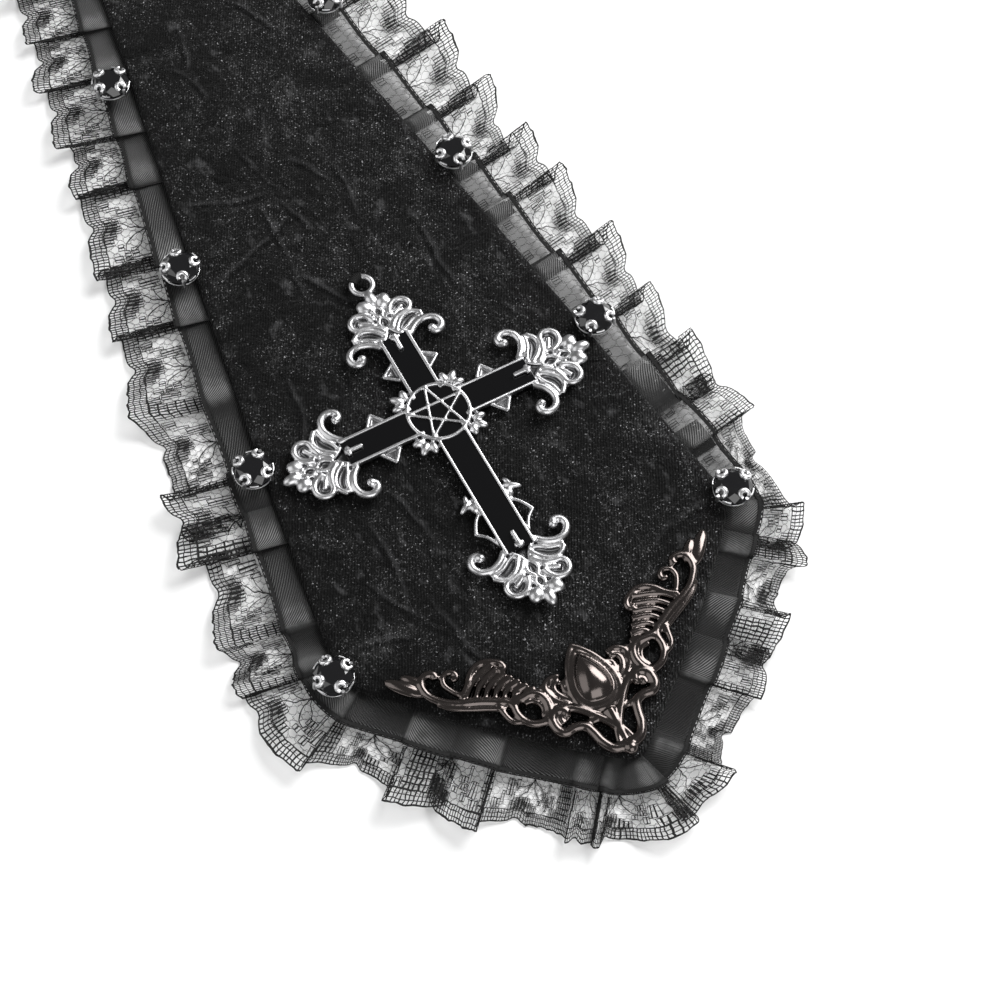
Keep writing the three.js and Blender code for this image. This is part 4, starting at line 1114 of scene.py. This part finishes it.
def finial(bm, arm):
    def on_arm(point):
        v, q = point
        return (v, arm["end"] + q * (arm["stretch"] if q > 0 else 1))

    height = FINIAL_PLATE_HEIGHT + 0.5
    mirrored = [(-v, q) for v, q in reversed(FINIAL_PLATE)]
    plate(bm, [on_arm(p) for p in FINIAL_PLATE + mirrored[1:]], 0, FINIAL_PLATE_HEIGHT)
    ribs = []
    for row in FINIAL_RIBS:
        for side in (1, -1):
            path = [on_arm((side * v, q)) for v, q in row["path"]]
            ribs.append(tapered(path, height, row["radii"]))
    pin = [(0, arm["end"] + 0.6, 2.5), (0, arm["end"] - 3.2, 2.4)]
    bar = [(-1, arm["end"] - 0.2, 2.5), (1, arm["end"] - 0.2, 2.5)]
    ribs += [(pin, [0.55, 0.5]), (bar, [0.45, 0.45])]
    rods(bm, ribs)
    for row in FINIAL_PETALS:
        x, y = on_arm((row["v"], row["q"]))
        petal(bm, x, y, height, row["angle"], row["half_length"], row["half_width"], 1.1)


def arm_rims(bm, arm):
    inner = ARM_HALF_WIDTH - ARM_RIM
    block(bm, (-ARM_HALF_WIDTH, 4, 0), (ARM_HALF_WIDTH, arm["end"], CROSS_PLATE))
    for side in (-1, 1):
        low, high = sorted((side * inner, side * ARM_HALF_WIDTH))
        block(bm, (low, 4.5, 0), (high, arm["end"] + 0.6, 2.2))
    edge_at_side = ARM_HALF_WIDTH - 0.2
    ribs = []
    for side in (-1, 1):
        if arm["spikes"]:
            ribs.append(([(side * edge_at_side, 9.9, 1.2), (side * 6, 12.2, 1.2)], [0.45, 0.4]))
            ribs.append(([(side * edge_at_side, 14.2, 1.2), (side * 6, 12.1, 1.2)], [0.45, 0.4]))
            web = [(edge_at_side, 9.9), (6, 12.1), (edge_at_side, 14.2)]
            plate(bm, [(side * x, y) for x, y in web], 0.1, 0.95)
        else:
            petal(bm, side * 5, 20.9, 1.2, side * -60, 2, 0.7, 0.9)
            petal(bm, side * 4.6, 20.0, 1.2, side * -20, 1.6, 0.6, 0.8)
            petal(bm, side * 3.7, 21.9, 1.2, 0, 1.2, 1.0, 0.9)
            ribs.append(tapered([(side * edge_at_side, 23), (side * 4.6, 24.4), (side * 6.2, 27.2)], 1.2, (0.45, 0.4)))
            ribs.append(tapered([(side * 6.2, 27), (side * 4.4, 28.6), (side * edge_at_side, 31.4)], 1.2, (0.4, 0.45)))
    rods(bm, ribs)


# %% [markdown]
# The parts are gathered arm by arm, turned about the disc and fused.

# %% Cross: fuse the casting
RING_Y = 33.4
RING_HEIGHT = 1.3
RING_RADIUS = 2.15
RING_WIRE = 0.68
VOXEL = 0.2


def fused(bm, voxel, rounds):
    """One skin round everything in a mesh, lightly smoothed, with fewer faces where it is flat."""
    mesh = bpy.data.meshes.new("casting")
    bm.to_mesh(mesh)
    bm.free()
    holder = bpy.data.objects.new("casting", mesh)
    scene.collection.objects.link(holder)
    skin = holder.modifiers.new("skin", "REMESH")
    skin.mode = "VOXEL"
    skin.voxel_size = voxel
    polish = holder.modifiers.new("polish", "SMOOTH")
    polish.factor = 0.5
    polish.iterations = rounds
    lighter = holder.modifiers.new("lighter", "DECIMATE")
    lighter.ratio = 0.5
    bpy.context.view_layer.update()
    skinned = bpy.data.meshes.new_from_object(holder.evaluated_get(bpy.context.evaluated_depsgraph_get()))
    bpy.data.objects.remove(holder)
    made = bmesh.new()
    made.from_mesh(skinned)
    return made


def put_on_blade(bm):
    bmesh.ops.rotate(bm, verts=bm.verts, matrix=Matrix.Rotation(CROSS_TURN, 3, "Z"))
    bmesh.ops.translate(bm, verts=bm.verts, vec=(0, CROSS_Y, CROSS_Z))


def turned_arm(build, arm, whole):
    part = bmesh.new()
    build(part, arm)
    bmesh.ops.rotate(part, verts=part.verts, matrix=Matrix.Rotation(math.radians(arm["turn"]), 3, "Z"))
    mesh = bpy.data.meshes.new("arm")
    part.to_mesh(mesh)
    part.free()
    whole.from_mesh(mesh)


def small_fleur(bm, arm):
    for x, y, angle, length, width in ((0, 8.5, 0, 1.7, 0.95), (1.5, 7.7, -45, 1.5, 0.9), (-1.5, 7.7, 45, 1.5, 0.9)):
        petal(bm, x, y, 1.2, angle, length, width, 1.0)


bm = bmesh.new()
for arm in CROSS_ARMS:
    turned_arm(finial, arm, bm)
    turned_arm(arm_rims, arm, bm)
for quarter in range(4):
    turned_arm(small_fleur, {"turn": 45 + 90 * quarter}, bm)
disc = bmesh.ops.create_cone(bm, cap_ends=True, segments=64, radius1=DISC_RADIUS, radius2=DISC_RADIUS,
                             depth=CROSS_PLATE)["verts"]
bmesh.ops.translate(bm, verts=disc, vec=(0, 0, CROSS_PLATE / 2))
star = [(math.cos(math.pi / 2 + k * 4 * math.pi / 5), math.sin(math.pi / 2 + k * 4 * math.pi / 5)) for k in range(5)]
lines = []
for start, end in zip(star, star[1:] + star[:1]):
    reach = DISC_RADIUS - 0.5
    lines.append(([(start[0] * reach, start[1] * reach, 2.1), (end[0] * reach, end[1] * reach, 2.1)], [0.34, 0.34]))
rim_turns = np.linspace(0, 2 * math.pi, 25)
for radius, height, thick, middle in ((DISC_RADIUS - 0.35, 2.0, 0.42, 0), (RING_RADIUS, RING_HEIGHT, RING_WIRE, RING_Y)):
    ring = [(radius * math.cos(a), middle + radius * math.sin(a), height) for a in rim_turns]
    lines.append((ring, [thick] * len(ring)))
rods(bm, lines)
bm = fused(bm, VOXEL, 2)
put_on_blade(bm)
print("cross:", len(bm.faces), "faces")
finish_piece("cast_cross", bm, silver, ["cross"])

# %% [markdown]
# The ring at the cross's top is sewn down with black thread, wound over it a few times. Each turn
# of thread is a small hoop round the ring's wire that dips into the velvet.

# %% Thread on the ring
THREAD_TURNS = 8
bm = bmesh.new()
hoops = []
for k in range(THREAD_TURNS):
    angle = math.radians(72 + 9 * k)
    outward = Vector((math.cos(angle), math.sin(angle), 0))
    middle = outward * RING_RADIUS + Vector((0, RING_Y, RING_HEIGHT))
    turns_round = np.linspace(0, 2 * math.pi, 13)
    hoop = [middle + (outward * math.cos(t) + Vector((0, 0, 1)) * math.sin(t)) * (RING_WIRE + 0.14) for t in turns_round]
    hoops.append((hoop, [0.2] * len(hoop)))
rods(bm, hoops, 2, 1)
put_on_blade(bm)
finish_piece("ring_thread", bm, thread.material, [])

# %% [markdown]
# Enamel is poured into each arm and into the disc. It settles level and draws up a little at the
# metal, so each fill is a block with a rounded edge that fills its hollow from rim to rim.

# %% Enamel
ENAMEL_TOP = 1.95
for arm in CROSS_ARMS:
    bm = bmesh.new()
    half = ARM_HALF_WIDTH - ARM_RIM + 0.1
    block(bm, (-half, DISC_RADIUS - 0.7, 1.1), (half, arm["end"] + 0.5, ENAMEL_TOP))
    bmesh.ops.rotate(bm, verts=bm.verts, matrix=Matrix.Rotation(math.radians(arm["turn"]), 3, "Z"))
    bmesh.ops.bevel(bm, geom=bm.edges[:], offset=0.12, segments=2, affect="EDGES", profile=0.5, material=-1)
    put_on_blade(bm)
    finish_piece(f"fill_{arm['name']}", bm, enamel.material, [f"enamel_{arm['name']}"], smooth=False)
bm = bmesh.new()
disc = bmesh.ops.create_cone(bm, cap_ends=True, segments=64, radius1=DISC_RADIUS - 0.5, radius2=DISC_RADIUS - 0.5,
                             depth=0.6)["verts"]
bmesh.ops.translate(bm, verts=disc, vec=(0, 0, 1.55))
put_on_blade(bm)
finish_piece("fill_disc", bm, enamel.material, ["enamel_disc"], smooth=False)

# %% [markdown]
# The ornament on the point is cast the same way, in gunmetal: a scroll along each lower edge, a
# leaf of close ribs, and a domed boss with a double rim between them.

# %% Ornament on the point
ORNAMENT_TIP_Y = 1
ORNAMENT_PLATE = 0.8
RIB_SWELL = 1.6
ORNAMENT_RIBS = [
    {"r": 0.68, "path": [(1.2, 1.2), (3.4, -0.2), (5.8, 0.2), (8, 1.5), (9.8, 2.2), (11.5, 1.4), (12.9, -0.1),
                        (14.9, 0.4), (16, 2.3), (15, 3.9), (13.4, 3.6)]},
    {"r": 0.6, "path": [(14.6, 4.6), (11.8, 5), (9, 4.8), (6.2, 4.4), (3.8, 3.8)]},
    {"r": 0.45, "path": [(13.6, 1.4), (14.4, 2.4), (13.8, 3.2), (12.9, 2.8)]},
    {"r": 0.45, "path": [(9.8, 2.3), (9, 3.4), (7.6, 4.5)]},
    {"r": 0.45, "path": [(4.4, 3.9), (3.6, 2.2), (2.6, 0.6)]},
    {"r": 0.55, "path": [(16.2, 1.6), (18.1, 0.2), (20.2, -0.1), (22.2, 0.8), (23.6, 2.2), (25.6, 2.6)]},
    {"r": 0.4, "path": [(26.4, 1.6), (24.6, 0.2), (22.6, -0.8), (21, -0.4)]},
    {"r": 0.6, "path": [(16.4, 1.4), (17, 3.6), (18.8, 5.4), (20.9, 5.5), (22.4, 4.1), (23.6, 2.7)]},
    {"r": 0.35, "path": [(17.6, 1.8), (18.2, 3.4), (19.4, 4.1), (20.6, 4), (21.7, 3.1)]},
    {"r": 0.4, "path": [(16, 3.2), (16.6, 5.2), (18.2, 6.8), (20.2, 6.9)]},
    {"r": 0.55, "path": [(22.6, 3), (26.2, 2.1), (30, 0.9), (33.6, -0.6), (37, -1), (39.8, -0.2), (41.1, 1.6),
                        (40.6, 3.1), (39.3, 3.6), (38.7, 2.7)]},
    {"r": 0.35, "path": [(24.4, 1.2), (27.8, 0.2), (31.2, -1), (34.4, -1.8), (36.8, -1.7)]},
    {"r": 0.35, "path": [(40.2, -0.8), (42, -1.3), (44, -1.3)]},
    {"r": 0.4, "path": [(33.2, 1.2), (35.4, 1.6), (37.2, 2.6), (37.4, 4.2), (36.2, 5.1), (35.2, 4.4), (35.9, 3.5)]},
    {"r": 0.45, "path": [(13.8, 5.4), (16.7, 5.6), (18.8, 6.8), (19, 8.7), (17.3, 10.3)]},
    {"r": 0.4, "path": [(13.4, 6.4), (16, 6.7), (17.5, 7.8), (17.3, 9.4)]},
    {"r": 0.4, "path": [(12.8, 7.4), (14.9, 7.7), (16, 8.8), (15.8, 9.9)]},
]
LEAF_RIB_COUNT = 7
LEAF_CURL = [(33, 0.6), (32.7, 3.2), (32.9, 5.8), (32.1, 8), (29.9, 9.3), (27.9, 9.3), (27.3, 8.5), (28, 7.8)]
ORNAMENT_PLATES = [
    [(33.2, 0), (32.8, 5.6), (31.8, 8.2), (29.6, 9.2), (27.4, 8.4), (20.6, 6.9), (20.9, 5), (25, 2.6)],
    [(16.4, 1.2), (16.2, 4), (18.2, 6.8), (20.8, 6.6), (21.9, 4.2), (20.6, 4.2), (19, 4.2), (17.6, 1.6)],
    [(12.6, 5.4), (16.7, 5.6), (18.8, 6.8), (19, 8.7), (17.3, 10.3), (12.6, 9)],
]
BOSS_HALF = [(0, 23.7), (1.3, 22.4), (2.8, 20.2), (4, 17.4), (4.5, 14.8), (4.1, 12.4), (2.7, 10.7), (0, 10.1)]
BOSS_MIDDLE = 15.6
ORNAMENT_ASIDE = -0.8


def ornament_plan(point, side):
    a, c = point
    return (side * (a - c) / math.sqrt(2), ORNAMENT_TIP_Y + (a + c) / math.sqrt(2))


def boss_ring(scale):
    """The boss's pear-shaped outline, drawn in towards its middle."""
    right = smooth_through(BOSS_HALF, 6) + [np.array(BOSS_HALF[-1], float)]
    ring = right + [point * (-1, 1) for point in reversed(right[1:-1])]
    return [(x * scale, ORNAMENT_TIP_Y + BOSS_MIDDLE + (y - BOSS_MIDDLE) * scale) for x, y in reversed(ring)]


def dome(bm, scale, base, height):
    """A ball whose plan is pulled out to the boss's outline."""
    middle_y = ORNAMENT_TIP_Y + BOSS_MIDDLE
    outline = np.array(boss_ring(scale)) - (0, middle_y)
    turns_round = np.arctan2(outline[:, 1], outline[:, 0])
    reach = np.hypot(outline[:, 0], outline[:, 1])
    ball = bmesh.ops.create_uvsphere(bm, u_segments=64, v_segments=32, radius=1)["verts"]
    for vert in ball:
        out = np.interp(math.atan2(vert.co.y, vert.co.x), turns_round, reach, period=2 * math.pi)
        rise = vert.co.z * (height if vert.co.z > 0 else 0.5)
        vert.co = (vert.co.x * out, vert.co.y * out + middle_y, base + rise)


bm = bmesh.new()
ribs = []
for side in (-1, 1):
    for row in ORNAMENT_RIBS:
        path = [ornament_plan(point, side) for point in row["path"]]
        ribs.append(tapered(path, ORNAMENT_PLATE + 0.35, (row["r"] * RIB_SWELL, row["r"] * RIB_SWELL)))
    for k in range(LEAF_RIB_COUNT):
        foot = np.array((32.2 - 1.68 * k, 1.1 + 0.45 * k))
        tip = np.array((30.2 - 1.58 * k, 8.6 - 0.32 * k))
        path = [ornament_plan(p, side) for p in (foot, foot * 0.6 + tip * 0.4 + (0.7, 0), tip)]
        ribs.append(tapered(path, ORNAMENT_PLATE + 0.4, (0.55, 0.74)))
    ribs.append(tapered([ornament_plan(p, side) for p in LEAF_CURL], ORNAMENT_PLATE + 0.5, (0.7, 0.75)))
    for outline in ORNAMENT_PLATES:
        plate(bm, [ornament_plan(point, side) for point in outline], 0.1, ORNAMENT_PLATE - 0.3)
    for point, length, width in (((43.6, -0.5), 4.2, 1.4), ((42.4, 1.3), 2.8, 1.1)):
        x, y = ornament_plan(point, side)
        petal(bm, x, y, 1.0, side * -42, length, width, 1.0)
for scale, radius, height in ((1, 0.6, 1.4), (0.84, 0.42, 1.6)):
    ring = [(x, y, height) for x, y in boss_ring(scale)]
    ribs.append((ring + ring[:1], [radius] * (len(ring) + 1)))
tip_y = ORNAMENT_TIP_Y + 1
ribs.append(([(0, tip_y + 1, 1), (0, tip_y + 4.6, 1.1), (0, tip_y + 8.4, 1.1)], [0.7, 1.0, 1.5]))
for side in (-1, 1):
    ribs.append(([(side * 1.8, tip_y + 2.4, 1), (0, tip_y + 1.7, 1)], [0.6, 0.5]))
rods(bm, ribs)
plate(bm, boss_ring(1), 0, 1.2)
dome(bm, 0.78, 1.1, 2.7)
petal(bm, 0, tip_y, 1.3, 0, 1.4, 1.4, 1.3)
bm = fused(bm, VOXEL, 5)
bmesh.ops.translate(bm, verts=bm.verts, vec=(ORNAMENT_ASIDE, 0, CROSS_Z - 0.1))
print("ornament:", len(bm.faces), "faces")
finish_piece("scrollwork_point", bm, gunmetal, ["point_ornament"])

# %% [markdown]
# The top of the tie is out of the picture, so it is finished plainly: a tapered knot of the same
# velvet, a strap for the neck that stands on its edge, and a metal clasp. The knot is a rounded
# block drawn in at its waist; the strap is a grid wrapped round an oval.

# %% Knot, neck strap and clasp
KNOT_LENGTH = 30
KNOT_HEIGHT = 13
BAND_HALF_X = 60
BAND_HALF_Y = 67
BAND_HEIGHT = 15
BAND_THICKNESS = 1.6
CLASP_WIDTH = 22
BAND_CENTRE_Y = BLADE_TOP_Y + KNOT_LENGTH + 0.3 + BAND_THICKNESS / 2 + BAND_HALF_Y

bm = bmesh.new()
bmesh.ops.create_cube(bm, size=2)
bmesh.ops.subdivide_edges(bm, edges=bm.edges[:], cuts=23, use_grid_fill=True)
for vert in bm.verts:
    x, y, z = vert.co
    rounded = vert.co.normalized() * 1.25
    soft = vert.co * 0.55 + rounded * 0.45
    width = 15.6 + 2 * soft.y
    fold = 0.35 * math.sin(soft.x * 7 + soft.y * 2) * (1 - abs(soft.y) * 0.6)
    vert.co = (soft.x * width, BLADE_TOP_Y + 15.15 + soft.y * 14.6, 6.6 + soft.z * (5.6 + fold))
bmesh.ops.smooth_vert(bm, verts=bm.verts, factor=0.5, use_axis_x=True, use_axis_y=True, use_axis_z=True)
knot = finish_piece("velvet_knot", bm, velvet.material, ["knot"])

for side, word in ((-1, "left"), (1, "right")):
    bm = bmesh.new()
    bmesh.ops.create_grid(bm, x_segments=96, y_segments=10, size=0.5)
    start = -math.pi / 2 + 0.006
    end = math.pi / 2 - (CLASP_WIDTH / 2 + 0.4) / BAND_HALF_X
    for vert in bm.verts:
        angle = start + (end - start) * (vert.co.x + 0.5)
        ripple = 0.12 * math.sin(angle * 23)
        height = BAND_HEIGHT / 2 + vert.co.y * (BAND_HEIGHT - 0.6)
        x = side * (BAND_HALF_X + ripple) * math.cos(angle)
        vert.co = (x, BAND_CENTRE_Y + (BAND_HALF_Y + ripple) * math.sin(angle), height)
    bmesh.ops.recalc_face_normals(bm, faces=bm.faces)
    strap = finish_piece(f"neck_strap_{word}", bm, velvet.material, [f"neck_band_{word}"])
    wall = strap.modifiers.new("wall", "SOLIDIFY")
    wall.thickness = 1.4 * MM
    wall.offset = 0
    rounding = strap.modifiers.new("rounding", "BEVEL")
    rounding.width = 0.4 * MM
    rounding.segments = 2

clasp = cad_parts["clasp"]
clasp.data.materials.clear()
clasp.data.materials.append(claw_silver.material)
